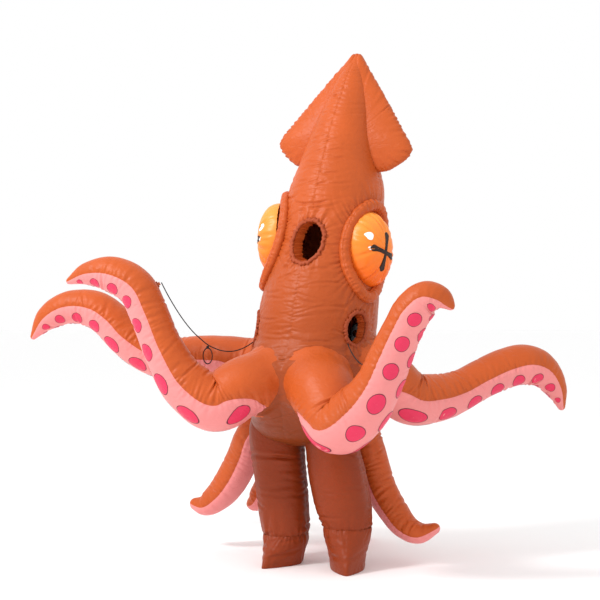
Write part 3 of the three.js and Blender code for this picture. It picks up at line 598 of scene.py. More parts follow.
def seam_relief(rng, z, degrees, seam, low, high, kind="side_seam", groove=2.2):
    """Gathers and the sunk line of an upright seam."""
    away = np.abs(np.radians(turn_between(degrees, seam))) * trunk_section(z)[2]
    fade = np.clip((z - low) / 40, 0, 1) * np.clip((high - z) / 40, 0, 1)
    relief = np.zeros_like(z)
    for side in (-1, 1):
        here = turn_between(degrees, seam) * side >= 0
        part = gathers(rng, z, away, low, high, *GATHERS[kind])
        relief[here] += part[here]
    return (relief - groove * np.exp(-(away / 6) ** 1.2)) * fade


def fold_line(x, depth):
    """The height across one fold: a valley between two soft shoulders."""
    return depth * (-np.exp(-x * x) + 0.45 * np.exp(-(x - 1.9) ** 2)
                    + 0.45 * np.exp(-(x + 1.9) ** 2))


# Long folds across the trunk: height, first and last angle, depth, rise at the ends.
TRUNK_FOLDS = [(1396, -34, 20, 5.0, 16), (1380, -20, 34, 3.0, 22), (1824, -62, 2, 3.5, 6),
               (1470, -14, 46, 3.0, 8), (1560, -34, 6, 3.0, 8), (1652, -40, -4, 2.6, 10),
               (1098, 6, 52, 3.2, -8), (1010, 12, 60, 2.8, -10), (1062, -60, -14, 2.8, 8),
               (960, -50, -12, 3.0, 10), (1176, -30, -4, 2.4, 10), (1150, 4, 36, 2.6, -8),
               (1486, -40, -8, 3.2, 12), (1514, 4, 30, 3.0, -6), (1606, 2, 34, 2.4, -8),
               (1700, -30, 4, 2.6, 8), (1758, -52, -10, 3.0, 8), (880, 8, 46, 3.2, -8),
               (846, -54, -6, 3.2, 10), (812, 6, 40, 3.0, -8), (1424, -58, -24, 3.4, 10),
               (1040, -40, 2, 2.6, 8), (770, -30, 0, 2.8, 8), (905, -34, 2, 2.6, 8)]


def trunk_relief(z, degrees):
    """How far the blown skin stands proud of the plain trunk, in millimetres."""
    rng = np.random.default_rng(11)
    relief = seam_relief(rng, z, degrees, 0, 500, 1172, "chest_seam")
    relief += seam_relief(rng, z, degrees, 0, 1336, 1985, "mantle_seam")
    relief += seam_relief(rng, z, degrees, 180, 500, 800)
    relief += seam_relief(rng, z, degrees, 180, 1450, 1985)
    for side in (-90, 90):
        relief += seam_relief(rng, z, degrees, side, 500, 1020)
        relief += seam_relief(rng, z, degrees, side, 1440, 1560)
    places = trunk_place(z, degrees)
    for hole, depth in zip(openings(), (4.6, 3.8, 3.8, 0.0)):
        across, up = opening_plane(hole, z, degrees)
        share = np.hypot(across / hole["width"], up / hole["height"])
        size = (hole["width"] + hole["height"]) / 2
        away = np.maximum(share - 1, 0) * size
        along = np.arctan2(up, across) * size
        relief += gathers(rng, along, away, -math.pi * size, math.pi * size, 13, 3.8, 44, depth)
        relief -= 0.9 * depth * np.exp(-(away / 12) ** 1.2)
    for sign in (-1, 1):
        across = np.radians(turn_between(degrees, sign * EYE["angle"])) * trunk_section(z)[2]
        up = z - eye_height(sign)
        share = np.hypot(across / 150, up / 205)
        away = np.maximum(share - 1, 0) * 180
        along = np.arctan2(up, across) * 180
        relief += gathers(rng, along, away, -math.pi * 180, math.pi * 180,
                          *GATHERS["eyelid_edge"])
    for level, start, end, depth, rise in TRUNK_FOLDS:
        share = turn_between(degrees, (start + end) / 2) / ((end - start) / 2)
        x = (z - level - rise * share * share) / 5.0
        relief += 1.1 * fold_line(x, depth) * np.clip(1 - share * share, 0, 1)
    relief += 3.0 * wander(places, 190, 1) + 0.7 * wander(places, 70, 2)
    across, up = opening_plane(openings()[3], z, degrees)
    calm = np.clip(np.hypot(across, up) / 25 - 2.4, 0, 1)
    from_zip = np.abs(np.radians(turn_between(degrees, 180))) * trunk_section(z)[2]
    beside_zip = np.clip(from_zip / 30 - 0.9, 0, 1)
    at_zip = (z > ZIP["bottom"] - 30) & (z < ZIP["top"] + 30)
    relief *= calm * np.where(at_zip, beside_zip, 1)
    return relief * np.clip((2000 - z) / 60, 0.1, 1)


FILLET = 74  # how far the skins of the trunk and a big tentacle run into each other
OVERLAP = 30  # how far a tentacle's skin goes on under the trunk's


MEETING_STEPS = 6
MEETING_RADII = 3.4  # how far out from the root a tentacle may run into the trunk
MEETING_SWELL = (-10, 50)  # the least and the most that a skin moves to meet the other


def fillet(tentacle):
    return FILLET * tentacle["radius"] / 115


def root_seam(past):
    """The sunk line where two skins are sewn, and how far the covered one keeps clear."""
    return 2.5 * np.exp(-(np.abs(past) / 9) ** 1.2) + 0.5 * np.clip(past, 0, 20)


def meet_tentacles(z, degrees):
    """How far the trunk's skin swells out to its tentacles, and how far each point lies past
    the seam where a tentacle's own skin takes over."""
    swell = np.zeros_like(z)
    past = np.full(z.shape, -1e3)
    low = z < 1080
    lean = trunk_lean(z[low])
    t = np.zeros(int(low.sum()))
    tubes = []
    for tentacle in TENTACLES.values():
        centre, _, _, _, radius, run = tentacle_line(tentacle, 120)
        chosen = run < MEETING_RADII * tentacle["radius"]
        tubes.append((centre[chosen][::2], radius[chosen][::2], fillet(tentacle)))
    for _ in range(MEETING_STEPS):
        points = trunk_place(z[low], degrees[low], t)
        level = t * lean
        nearest = np.full(t.shape, 1e6)
        for centres, radii, reach in tubes:
            distance = tube_distance(points, centres, radii)
            nearest = np.minimum(nearest, distance)
            level = smooth_min(level, distance, reach)
        t = np.clip(t - level / lean, *MEETING_SWELL)
    swell[low] = t
    past[low] = t * lean - nearest
    return swell, past


def add_trunk():
    z, degrees, inside = trunk_grid()
    swell, past = meet_tentacles(z, degrees)
    relief = trunk_relief(z, degrees)
    near = np.abs(past)
    relief += gathers(np.random.default_rng(15), z, near, 480, 1080, *GATHERS["trunk_root"])
    relief -= root_seam(past)
    relief = relief * np.clip(1 - past / 60, 0, 1) + swell
    relief[:, -1] = relief[:, 0]
    places = metres(trunk_place(z, degrees, relief))
    places[:, -1] = places[:, 0]
    rows, columns = z.shape
    faces = grid_faces(rows, columns)
    faces = faces[~inside.reshape(-1)[faces].all(axis=1)]
    flat = places.reshape(-1, 3)
    flat_z, flat_turn = z.reshape(-1), degrees.reshape(-1)
    normals = vertex_normals(flat, faces).reshape(rows, columns, 3)
    seam = unit(normals[:, 0] + normals[:, -1])
    normals[:, 0], normals[:, -1] = seam, seam
    normals = normals.reshape(-1, 3)
    middle_z = flat_z[faces].mean(axis=1)
    turn = flat_turn[faces].mean(axis=1)
    right = turn < 180
    front = (turn < 90) | (turn > 270)
    mantle = middle_z > MANTLE_BOTTOM
    pelvis = middle_z < PELVIS_TOP
    torso = ~mantle & ~pelvis
    parts = {
        "mantle_left_panel": mantle & ~right, "mantle_right_panel": mantle & right,
        "torso_front_left_panel": torso & front & ~right,
        "torso_front_right_panel": torso & front & right,
        "torso_back_left_panel": torso & ~front & ~right,
        "torso_back_right_panel": torso & ~front & right,
        "pelvis_gusset": pelvis,
    }
    for node, chosen in parts.items():
        # the torso and pelvis panels take the nylon with painted shade
        cloth = "nylon" if node.startswith("mantle") else "torso"
        dress(sub_object(node + "_skin", flat, faces[chosen], normals), cloth, "nylon",
              "root", node)


# ---- Hems of the face opening and the armholes ----
def opening_place(opening, turn, grow, out):
    """Points round an opening, grow millimetres outside its rim and out from the skin."""
    across = (opening["width"] + grow) * np.cos(turn)
    up = (opening["height"] + grow) * np.sin(turn)
    z = opening["z"] + up
    degrees = opening["angle"] + np.degrees(across / trunk_section(z)[2])
    return trunk_place(z, degrees, out)


def add_hem(name, opening, body, depth, seed):
    """A gathered channel round elastic, with a short sleeve that runs in from it."""
    rng = np.random.default_rng(seed)
    turns = 288
    turn = np.linspace(0, 2 * math.pi, turns, endpoint=False)
    ruffle = sum(rng.uniform(0.5, 1) * np.sin(turn * k + rng.uniform(0, 6.28))
                 for k in (7, 13, 19, 29, 37)) / 2.2
    section = np.linspace(0, 2 * math.pi, 16, endpoint=False)
    rows = []
    for phi in section:
        size = opening["hem"] * (1 + 0.26 * ruffle * (0.6 + 0.4 * math.cos(phi)))
        rows.append(opening_place(opening, turn, size * math.cos(phi) + 1.0 + 2.4 * ruffle,
                                  size * math.sin(phi) * 0.9 - 1))
    ring = np.array(rows + rows[:1])
    dress(grid_object(name, metres(ring), wrap=True), "elastic", "elastic", body, name)
    inner = np.array([opening_place(
        opening, turn, -2 - 9 * share + (3.0 + 1.5 * share) * ruffle, -4 - depth * share)
        for share in np.linspace(0, 1, 9)])
    sleeve = grid_object(name + "_sleeve", metres(inner), wrap=True)
    dress(sleeve, "nylon", "elastic", body)


# ---- Fins ----
def add_fin(side, sign):
    """A blown pillow on the fin's outline, gathered all round its edge seam."""
    edge, _ = catmull([(out, z, 0) for out, z in FIN_OUTLINE], 240)
    out, z = edge[:, 0] * FIN_REACH[side], edge[:, 1]
    run = np.concatenate([[0], np.cumsum(np.hypot(np.diff(out), np.diff(z)))])
    middle = np.array([70.0, 1690.0])
    levels = np.sin(np.linspace(-math.pi / 2, math.pi / 2, 61))
    rows = []
    for level in levels:
        shrink = max(math.sqrt(max(1 - abs(level) ** 2.2, 0)), 0.002)
        o = middle[0] + (out - middle[0]) * shrink
        h = middle[1] + (z - middle[1]) * shrink
        away = np.hypot(out - o, z - h) + 0.7 * abs(level) * FIN_THICKNESS / 2
        puff = gathers(np.random.default_rng(31 + sign), run, away, 60, run[-1] - 40,
                       *GATHERS["fin_edge"])
        x, y = trunk_section(np.clip(h, 480, 2000))[:2]
        thick = level * FIN_THICKNESS / 2
        h = h - sign * o * FIN_LEAN
        rows.append(np.stack([x + sign * (o + 0.5 * puff), y + thick + np.sign(level) * puff * 0.8,
                              h], -1))
    places = np.array(rows)
    places[..., 2] = np.minimum(places[..., 2], 2000)
    if sign > 0:
        places = places[:, ::-1]
    fin = grid_object(f"fin_{side}_skin", metres(places))
    dress(fin, "nylon", "nylon", "root", f"fin_{side}")


# ---- Eyes ----
def eye_height(sign):
    return EYE["z"] + (EYE["raise_left"] if sign < 0 else 0)


def eye_point(sign, across, up, lift=0.0):
    """A point on a blown eye. across and up run from -1 to 1 between its edges."""
    rim = np.hypot(across, up)
    bulge = np.sqrt(np.maximum(1 - np.minimum(rim, 1) ** 2.5, 0))
    turn = np.arctan2(up, across) * 120
    away = (1 - np.minimum(rim, 1)) * 120
    rng = np.random.default_rng(41 + sign)
    puff = gathers(rng, turn, away, -120 * math.pi, 120 * math.pi, *GATHERS["eye_edge"])
    reach = EYE["set"] + (EYE["out"] - 5) * bulge + puff * np.minimum(1, 3 * bulge + 0.2) + lift
    x, y = trunk_section(eye_height(sign))[:2]
    t = math.radians(sign * EYE["angle"])
    wide = EYE["across"] * across
    return np.stack([x + reach * math.sin(t) + wide * math.cos(t),
                     y - reach * math.cos(t) + wide * math.sin(t),
                     eye_height(sign) + EYE["up"] * up + 0 * wide], -1)


def eye_patch(name, sign, outline, lift, material):
    """A printed patch on an eye: outline holds (across, up) places round it."""
    outline = np.asarray(outline, float)
    middle = outline.mean(axis=0)
    rings = [middle + (outline - middle) * share for share in np.linspace(0.02, 1, 7)]
    grid = np.array([eye_point(sign, ring[:, 0], ring[:, 1], lift) for ring in rings])
    if sign_of_loop(outline) > 0:
        grid = grid[::-1]
    dress(grid_object(name, metres(grid), wrap=True), material, "eye", "root")


def sign_of_loop(loop):
    x, y = loop[:, 0], loop[:, 1]
    return np.sum(x * np.roll(y, -1) - y * np.roll(x, -1))


def round_outline(x, y, wide, tall, count=28):
    turn = np.linspace(0, 2 * math.pi, count, endpoint=False)
    return np.stack([x + wide * np.cos(turn), y + tall * np.sin(turn)], -1)


def stroke_outline(start, end, wide_start, wide_end, count=18):
    """A brush stroke with round, slightly swollen ends, in eye coordinates of millimetres."""
    a, b = np.array(start, float), np.array(end, float)
    along = unit(b - a)
    side = np.array([-along[1], along[0]])
    t = np.linspace(0, 1, count)
    width = 0.5 * (wide_start + (wide_end - wide_start) * t) * (0.78 + 0.5 * (2 * t - 1) ** 4)
    line = a + (b - a) * t[:, None]
    cap = np.linspace(-math.pi / 2, math.pi / 2, 8)[1:-1]
    end_cap = [b + 0.5 * wide_end * 1.28 * (along * math.cos(c) + side * math.sin(c)) for c in cap]
    start_cap = [a - 0.5 * wide_start * 1.28 * (along * math.cos(c) + side * math.sin(c))
                 for c in cap]
    loop = np.vstack([line - side * width[:, None], end_cap,
                      (line + side * width[:, None])[::-1], start_cap])
    return loop / np.array([EYE["across"], EYE["up"]])


# Prints on an eye: highlights as (towards the face, up, radius) with the first two as shares of
# the eye, and the pupil's strokes from end to end in millimetres from its middle.
GLINTS = ((0.65, 0.33, 15), (0.68, 0.02, 7))
PUPIL_STROKES = (((12, 52), (-12, -70)), ((-57, 4), (42, -26)))
PUPIL_WIDTH = 20


def add_eye(side, sign):
    turn = np.linspace(0, 2 * math.pi, 200, endpoint=False)
    rings = np.sin(np.linspace(0.004, math.pi / 2, 56))
    grid = np.array([eye_point(sign, r * np.cos(turn), r * np.sin(turn)) for r in rings[::-1]])
    dress(grid_object(f"eye_{side}_skin", metres(grid), wrap=True), "eye", "eye", "root",
          f"eye_dome_{side}")
    front = -sign  # towards the face
    for number, (x, y, tall) in enumerate(GLINTS):
        eye_patch(f"eye_{side}_glint_{number + 1}", sign, round_outline(
            front * x, y, tall * 0.8 / EYE["across"], tall / EYE["up"]), 0.7, "white")
    for number, (start, end) in enumerate(PUPIL_STROKES):
        flip = np.array([-front, 1])
        eye_patch(f"eye_{side}_pupil_{number + 1}", sign, stroke_outline(
            np.array(start) * flip, np.array(end) * flip, PUPIL_WIDTH, PUPIL_WIDTH),
            0.8 + 0.5 * number, "pupil")


def add_eyelid(side, sign):
    """A blown almond ring round the eye, with a piped edge and cross gathers."""
    rng = np.random.default_rng(51 + sign)
    count, around = 360, 48
    turn = np.linspace(0, 2 * math.pi, count, endpoint=False)
    rise = np.cos(turn) * np.where(np.cos(turn) > 0, EYELID["top"], EYELID["bottom"])
    taper = np.where(np.cos(turn) < 0, 1 - 0.3 * np.cos(turn) ** 2, 1)
    z = eye_height(sign) + rise
    across = (EYELID["across"] + 3) * np.sin(turn) * taper
    angle = sign * EYE["angle"] + np.degrees(across / trunk_section(z)[2])
    centre = trunk_place(z, angle, EYELID["thick"] * 0.2)
    middle = trunk_place(eye_height(sign), sign * EYE["angle"])
    along = unit(np.roll(centre, -1, axis=0) - np.roll(centre, 1, axis=0))
    out = centre - middle
    out = unit(out - along * np.sum(out * along, axis=1, keepdims=True))
    over = np.cross(along, out)
    axis = np.append(trunk_section(eye_height(sign))[:2], eye_height(sign))
    over *= np.sign(np.sum(over * (middle - axis), axis=1))[:, None]
    run = np.cumsum(np.linalg.norm(np.roll(centre, -1, axis=0) - centre, axis=1))
    phi = np.linspace(0, 2 * math.pi, around, endpoint=False)
    runs, phis = np.meshgrid(run, phi, indexing="ij")
    degrees = np.degrees(phis)
    puff = np.zeros_like(runs)
    for seam, depth in ((38, 3.4), (150, 3.0)):
        off = np.abs(turn_between(degrees, seam)) * 0.42
        puff += gathers(rng, runs, off, 0, run[-1], 15, 4.4, 15, depth) - 2.4 * np.exp(-(off / 3))
    rounds = np.stack([np.cos(phis), np.sin(phis), 0 * phis], -1)
    puff += 1.6 * wander(centre[:, None] + 40 * rounds, 45, 5 + sign)
    wide, tall = 0.86 * EYELID["thick"], 0.74 * EYELID["thick"]
    grid = (centre[:, None] + out[:, None] * ((wide + puff) * np.cos(phis))[..., None]
            + over[:, None] * ((tall + puff) * np.sin(phis))[..., None])
    grid = np.concatenate([grid, grid[:1]])
    if np.dot(np.cross(out[0], over[0]), along[0]) > 0:
        grid = grid[::-1]
    lid = grid_object(f"eyelid_{side}_skin", metres(grid), wrap=True)
    dress(lid, "nylon", "nylon", "root", f"eyelid_{side}")


# ---- Tentacles ----
ROOT_DEPTH = 1.3  # how many radii inside the root a tentacle's skin starts


def tentacle_line(tentacle, rows):
    """Centres, directions, radii and length from the root, for a tentacle that starts
    inside the trunk."""
    root, thick = np.array(tentacle["root"], float), tentacle["radius"]
    x, y = trunk_section(root[2])[:2]
    from_axis = unit(root - (x, y, root[2]))
    ahead = unit(np.array(tentacle["path"][0][:3]) - root)
    inner = root - ROOT_DEPTH * thick * unit(0.6 * from_axis + 0.4 * ahead)
    line, run = catmull([(*inner, thick), (*root, thick), *tentacle["path"]], rows)
    centre, radius = line[:, :3], line[:, 3]
    run = run - run[np.argmin(np.linalg.norm(centre - root, axis=1))]
    along = unit(np.gradient(centre, axis=0))
    outward = unit(np.array([centre[-1, 0] - root[0], centre[-1, 1] - root[1], 0.0]))
    level = np.cross([0, 0, 1], outward)
    up = unit(np.cross(along, level))
    twist = math.radians(tentacle["twist"])
    side = np.cross(along, up)
    up, side = (up * math.cos(twist) + side * math.sin(twist),
                side * math.cos(twist) - up * math.sin(twist))
    return centre, along, up, side, radius, run


def bend_creases(rng, run, radius, along, up, side, alpha):
    """Folds across the inside of each bend, deeper where the bend is sharper."""
    step = np.gradient(run)
    bend = np.gradient(along, axis=0) / step[:, None]
    sharp = np.linalg.norm(bend, axis=1) * radius
    inner = np.arctan2(np.sum(bend * side, axis=1), np.sum(bend * up, axis=1))
    relief = np.zeros(alpha.shape)
    place = 10.0
    while place < run[-1] - 50:
        here = int(np.searchsorted(run, place))
        strength = min(sharp[here], 1.1)
        place += rng.uniform(18, 44) * (1.4 - 0.5 * strength)
        deep = (1.8 + 8.5 * strength) * rng.uniform(0.4, 1.2)
        wide = rng.uniform(4.5, 8.0)
        off = (alpha - inner[here] - rng.uniform(-0.8, 0.8) + math.pi) % (2 * math.pi) - math.pi
        reach = rng.uniform(0.5, 1.5)
        around = np.clip(1 - (off / reach) ** 2, 0, 1) ** 1.5
        slant = rng.uniform(-18, 18)
        x = (run[:, None] - run[here] - slant * off - 6 * off**2) / wide
        relief += fold_line(x, deep) * around
    return relief


SOLE_START = -0.55  # radii past the root, unless the tentacle has its own
SOLE_SPREAD = 1.7  # radii over which the sole widens
SOLE_POINT = 1.5  # degrees of half the sole where it starts


def sole_share(run, radius, first):
    """Half the angle that the sole takes up: it starts as a point, first radii past the
    root."""
    t = np.clip((run - first * radius) / (SOLE_SPREAD * radius), 0, 1)
    return SOLE_POINT + (180 - SOLE_EDGE - SOLE_POINT) * (t * t * (3 - 2 * t)) ** 0.7


def sole_and_upper(tentacle, run, columns):
    """Angles round each row with the sole's columns first, half the sole's angle, and the
    column where the upper skin starts."""
    split = int(round(columns * (180 - SOLE_EDGE) / 180))
    half = sole_share(run, tentacle["radius"], tentacle.get("sole_from", SOLE_START))[:, None]
    sole = 180 + half * np.linspace(-1, 1, split + 1)
    upper = 180 + half + (360 - 2 * half) * np.linspace(0, 1, columns - split + 1)[1:]
    return np.hstack([sole, upper]), half, split


def sole_seams(rng, run, radius, degrees, half, split):
    """Gathers and sunk lines of the two seams between the sole and the upper skin."""
    away = np.minimum(np.abs(turn_between(degrees, 180 + half)),
                      np.abs(turn_between(degrees, 180 - half)))
    away = np.radians(away) * radius[:, None]
    columns = degrees.shape[1]
    runs = np.repeat(run[:, None], columns, axis=1)
    is_upper = np.arange(columns) > split
    scale = np.clip(radius / 90, 0.35, 1.1)[:, None]
    relief = np.zeros(away.shape)
    for right in (False, True):
        here = (np.sin(np.radians(degrees[-1])) > 0) == right
        for part, kind in ((is_upper, "upper_seam"), (~is_upper, "sole_seam")):
            zone = here & part
            fold = gathers(rng, runs, away, -80, run[-1], *GATHERS[kind])
            relief[:, zone] += (fold * scale)[:, zone]
    return relief - (2.4 * scale) * np.exp(-(away / (6 * scale)) ** 1.3), scale


def meet_trunk(tentacle, centre, direction, radius, run):
    """How far a tentacle's skin swells out to the trunk's, and how far each point lies past
    the seam where the trunk's own skin takes over."""
    swell = np.zeros(direction.shape[:2])
    past = np.full(swell.shape, -1e3)
    close = run < MEETING_RADII * tentacle["radius"]
    for _ in range(MEETING_STEPS):
        points = centre[close, None] + direction[close] * (
            radius[close, None] + swell[close])[..., None]
        trunk = off_trunk(points)
        level = smooth_min(swell[close], trunk, fillet(tentacle))
        swell[close] = np.clip(swell[close] - level, *MEETING_SWELL)
    past[close] = swell[close] - trunk
    return swell, past


def tentacle_skin(tentacle, seed, rows, columns):
    """The blown skin as a grid of points, with the seams on two of its columns, and how far
    each point lies past the seam where the trunk's skin takes over."""
    rng = np.random.default_rng(seed)
    centre, along, up, side, radius, run = tentacle_line(tentacle, rows)
    degrees, half, split = sole_and_upper(tentacle, run, columns)
    alpha = np.radians(degrees)
    relief, scale = sole_seams(rng, run, radius, degrees, half, split)
    flat = np.exp(-((degrees - 180) / 50) ** 2)
    relief -= 0.07 * radius[:, None] * flat
    relief += bend_creases(rng, run, radius, along, up, side, alpha)
    direction = (up[:, None] * np.cos(alpha)[..., None] + side[:, None] * np.sin(alpha)[..., None])
    base = centre[:, None] + direction * radius[:, None, None]
    relief += (2.6 * wander(base, 120, seed) + 0.9 * wander(base, 50, seed + 3)) * scale
    swell, past = meet_trunk(tentacle, centre, direction, radius, run)
    around = alpha * tentacle["radius"]
    relief += gathers(rng, around, np.abs(past), around.min(), around.max(),
                      *GATHERS["tentacle_root"])
    relief -= root_seam(past)
    tip = np.clip((run[-1] - run) / 40, 0, 1)[:, None]
    reach = np.maximum(radius[:, None] + relief * tip + swell, 1.0)
    near_tip = np.clip((run - run[-1] + radius[-1]) / radius[-1], 0, 1)
    reach = reach * np.maximum(np.sqrt(1 - near_tip ** 2), 0.05)[:, None]
    grid = centre[:, None] + direction * reach[..., None]
    grid[:, -1] = grid[:, 0]
    return grid, run, alpha, radius, past, split


def sample_grid(grid, i, j):
    """Points at fractional row and column places of a grid."""
    i = np.clip(i, 0, grid.shape[0] - 1.001)
    j = np.clip(j, 0, grid.shape[1] - 1.001)
    i0, j0 = i.astype(int), j.astype(int)
    a, b = (i - i0)[..., None], (j - j0)[..., None]
    return ((1 - a) * (1 - b) * grid[i0, j0] + a * (1 - b) * grid[i0 + 1, j0]
            + (1 - a) * b * grid[i0, j0 + 1] + a * b * grid[i0 + 1, j0 + 1])


# Suckers: how far off the sole's middle line, their radius as a share of the tentacle's and
# its limits, the spacing along the sole in their own radii and more, and their lift.
SUCKER = dict(degrees=31, share=0.4, smallest=10, largest=36, step=1.42, gap=8, lift=0.8)
SUCKER_RINGS = (0.02, 0.35, 0.65, 0.93, 0.935, 1.0)  # shares of the radius, outline last
OUTLINE_RING = 4
TIP_CLEAR = 45


def add_suckers(name, grid, normals, run, alpha, radius, first):
    """Round prints on a sole, in two rows, with a thin dark outline. One mesh, two colours."""
    vertices, faces, colours = [], [], []
    place = first
    row_side = 1
    turn = np.linspace(0, 2 * math.pi, 36, endpoint=False)
    while place < run[-1] - TIP_CLEAR:
        local = float(np.interp(place, run, radius))
        size = np.clip(SUCKER["share"] * local, SUCKER["smallest"], SUCKER["largest"])
        middle = math.pi + row_side * math.radians(SUCKER["degrees"])
        rings = []
        for share in SUCKER_RINGS:
            along = place + size * share * np.cos(turn)
            i = np.interp(along, run, np.arange(len(run)))
            row = alpha[np.clip(np.rint(i).astype(int), 0, len(run) - 1)]
            angle = middle + size * share * np.sin(turn) / local
            j = np.array([np.interp(a, line, np.arange(len(line))) for a, line in zip(angle, row)])
            rings.append(sample_grid(grid, i, j) + sample_grid(normals, i, j) * SUCKER["lift"])
        base = len(vertices)
        vertices.extend(np.vstack(rings))
        quads = grid_faces(len(SUCKER_RINGS), len(turn), True)[:, ::-1] + base
        faces.extend(quads)
        colours.extend([int(k // len(turn) >= OUTLINE_RING) for k in range(len(quads))])
        place += SUCKER["step"] * size + SUCKER["gap"]
        row_side = -row_side
    patch = mesh_object(name, metres(np.array(vertices)), faces)
    patch.data.materials.append(PAINT["sucker"])
    patch.data.materials.append(PAINT["outline"])
    patch.data.polygons.foreach_set("material_index", colours)
    return patch


LARGE_GRID, SMALL_GRID = (300, 108), (190, 72)  # rows and columns of a tentacle's skin
BEND_START, BEND_END = 0.2, 1.9  # radii past the root of the start and end places
FIRST_SUCKER = 0.75  # radii past the root


def add_tentacle(name, tentacle, seed):
    big = name.startswith(("front", "back"))
    rows, columns = LARGE_GRID if big else SMALL_GRID
    grid, run, alpha, radius, past, split = tentacle_skin(tentacle, seed, rows, columns)
    count = grid.shape[0]
    flat = grid.reshape(-1, 3)
    faces = grid_faces(count, columns + 1)
    normals = vertex_normals(flat, faces).reshape(count, columns + 1, 3)
    seam = unit(normals[:, 0] + normals[:, -1])
    normals[:, 0], normals[:, -1] = seam, seam
    column = np.tile(np.arange(columns), count - 1)
    hidden = (past > OVERLAP).reshape(-1)[faces].all(axis=1)
    body = "tentacle_" + name
    root = np.array(tentacle["root"], float)
    aim = np.array(tentacle["path"][-1][:3], float) - root
    step = unit(aim * (1, 1, 0 if big else 1)) * tentacle["radius"]
    start, end = metres(root + BEND_START * step), metres(root + BEND_END * step)
    for part, chosen in (("sole", column < split), ("upper", column >= split)):
        skin = sub_object(f"{body}_{part}_skin", metres(flat), faces[chosen & ~hidden],
                          normals.reshape(-1, 3))
        slot = "nylon" if part == "upper" else "sole"
        dress_bending(skin, slot, slot, ("root", body), start, end, f"{body}_{part}")
    if big:
        patch = add_suckers(f"{body}_suckers", grid, normals, run, alpha, radius,
                            FIRST_SUCKER * tentacle["radius"])
        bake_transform(patch)


# ---- Legs and shoe covers ----
LEG_FOLDS, SHOE_FOLDS = 26, 12


def add_leg(side, leg, seed):
    rng = np.random.default_rng(seed)
    hip, ankle = np.array(leg["hip"], float), np.array(leg["ankle"], float)
    dome = np.radians(np.linspace(50, 86, 12))
    steps = np.linspace(0, 1, 110)
    shares = np.linspace(0, 1, len(leg["radii"]) + 1)
    radii = np.interp(steps, shares, (HIP_RADIUS, *leg["radii"]))
    centre = np.vstack([hip + np.outer(np.cos(dome) * HIP_RADIUS, [0, 0, 1]),
                        hip + np.outer(steps, ankle - hip)])
    radius = np.concatenate([HIP_RADIUS * np.sin(dome), radii])
    run = np.concatenate([-HIP_RADIUS * np.cos(dome), steps * np.linalg.norm(ankle - hip)])
    columns = 110
    turn = np.linspace(0, 2 * math.pi, columns, endpoint=False)
    base = (centre[:, None] + radius[:, None, None] * np.stack(
        [np.cos(turn), np.sin(turn), 0 * turn], -1)[None])
    runs = np.repeat(run[:, None], columns, axis=1)
    relief = 2.5 * wander(base, 120, seed) + 1.0 * wander(base, 45, seed + 1)
    for seam in (0.0, math.pi):
        off = np.abs((turn - seam + math.pi) % (2 * math.pi) - math.pi)[None] * radius[:, None]
        relief += gathers(rng, runs, off, 20, run[-1], *GATHERS["leg_seam"])
        relief -= 2 * np.exp(-(off / 6) ** 1.3)
    for _ in range(LEG_FOLDS):
        place = run[-1] * (1 - 0.9 * rng.random() ** 1.7)
        at = rng.uniform(0, 2 * math.pi)
        off = (turn - at + math.pi) % (2 * math.pi) - math.pi
        x = (runs - place - rng.uniform(-30, 30) * off[None]) / rng.uniform(5, 9)
        around = np.clip(1 - (off[None] / rng.uniform(0.4, 1.0)) ** 2, 0, 1)
        relief += fold_line(x, rng.uniform(1.6, 4.8)) * around
    ankle_off = run[-1] - runs
    around = np.repeat((turn * radius[-1])[None], len(run), axis=0)
    relief += gathers(rng, around, ankle_off, 0, 2 * math.pi * radius[-1], *GATHERS["leg_ankle"])
    relief -= 4 * np.exp(-(ankle_off / 9) ** 1.3)
    grid = base + relief[..., None] * np.stack([np.cos(turn), np.sin(turn), 0 * turn], -1)[None]
    skin = grid_object(f"leg_{side}_skin", metres(grid[::-1]), wrap=True)
    # the legs take the darker nylon, partly painted shade under the tentacles
    dress_bending(skin, "nylon_dark", "nylon_dark", ("root", f"leg_{side}"),
                  metres(hip + (0, 0, 40)), metres(hip - (0, 0, 80)), f"leg_{side}")
    add_shoe(side, leg, seed + 50)


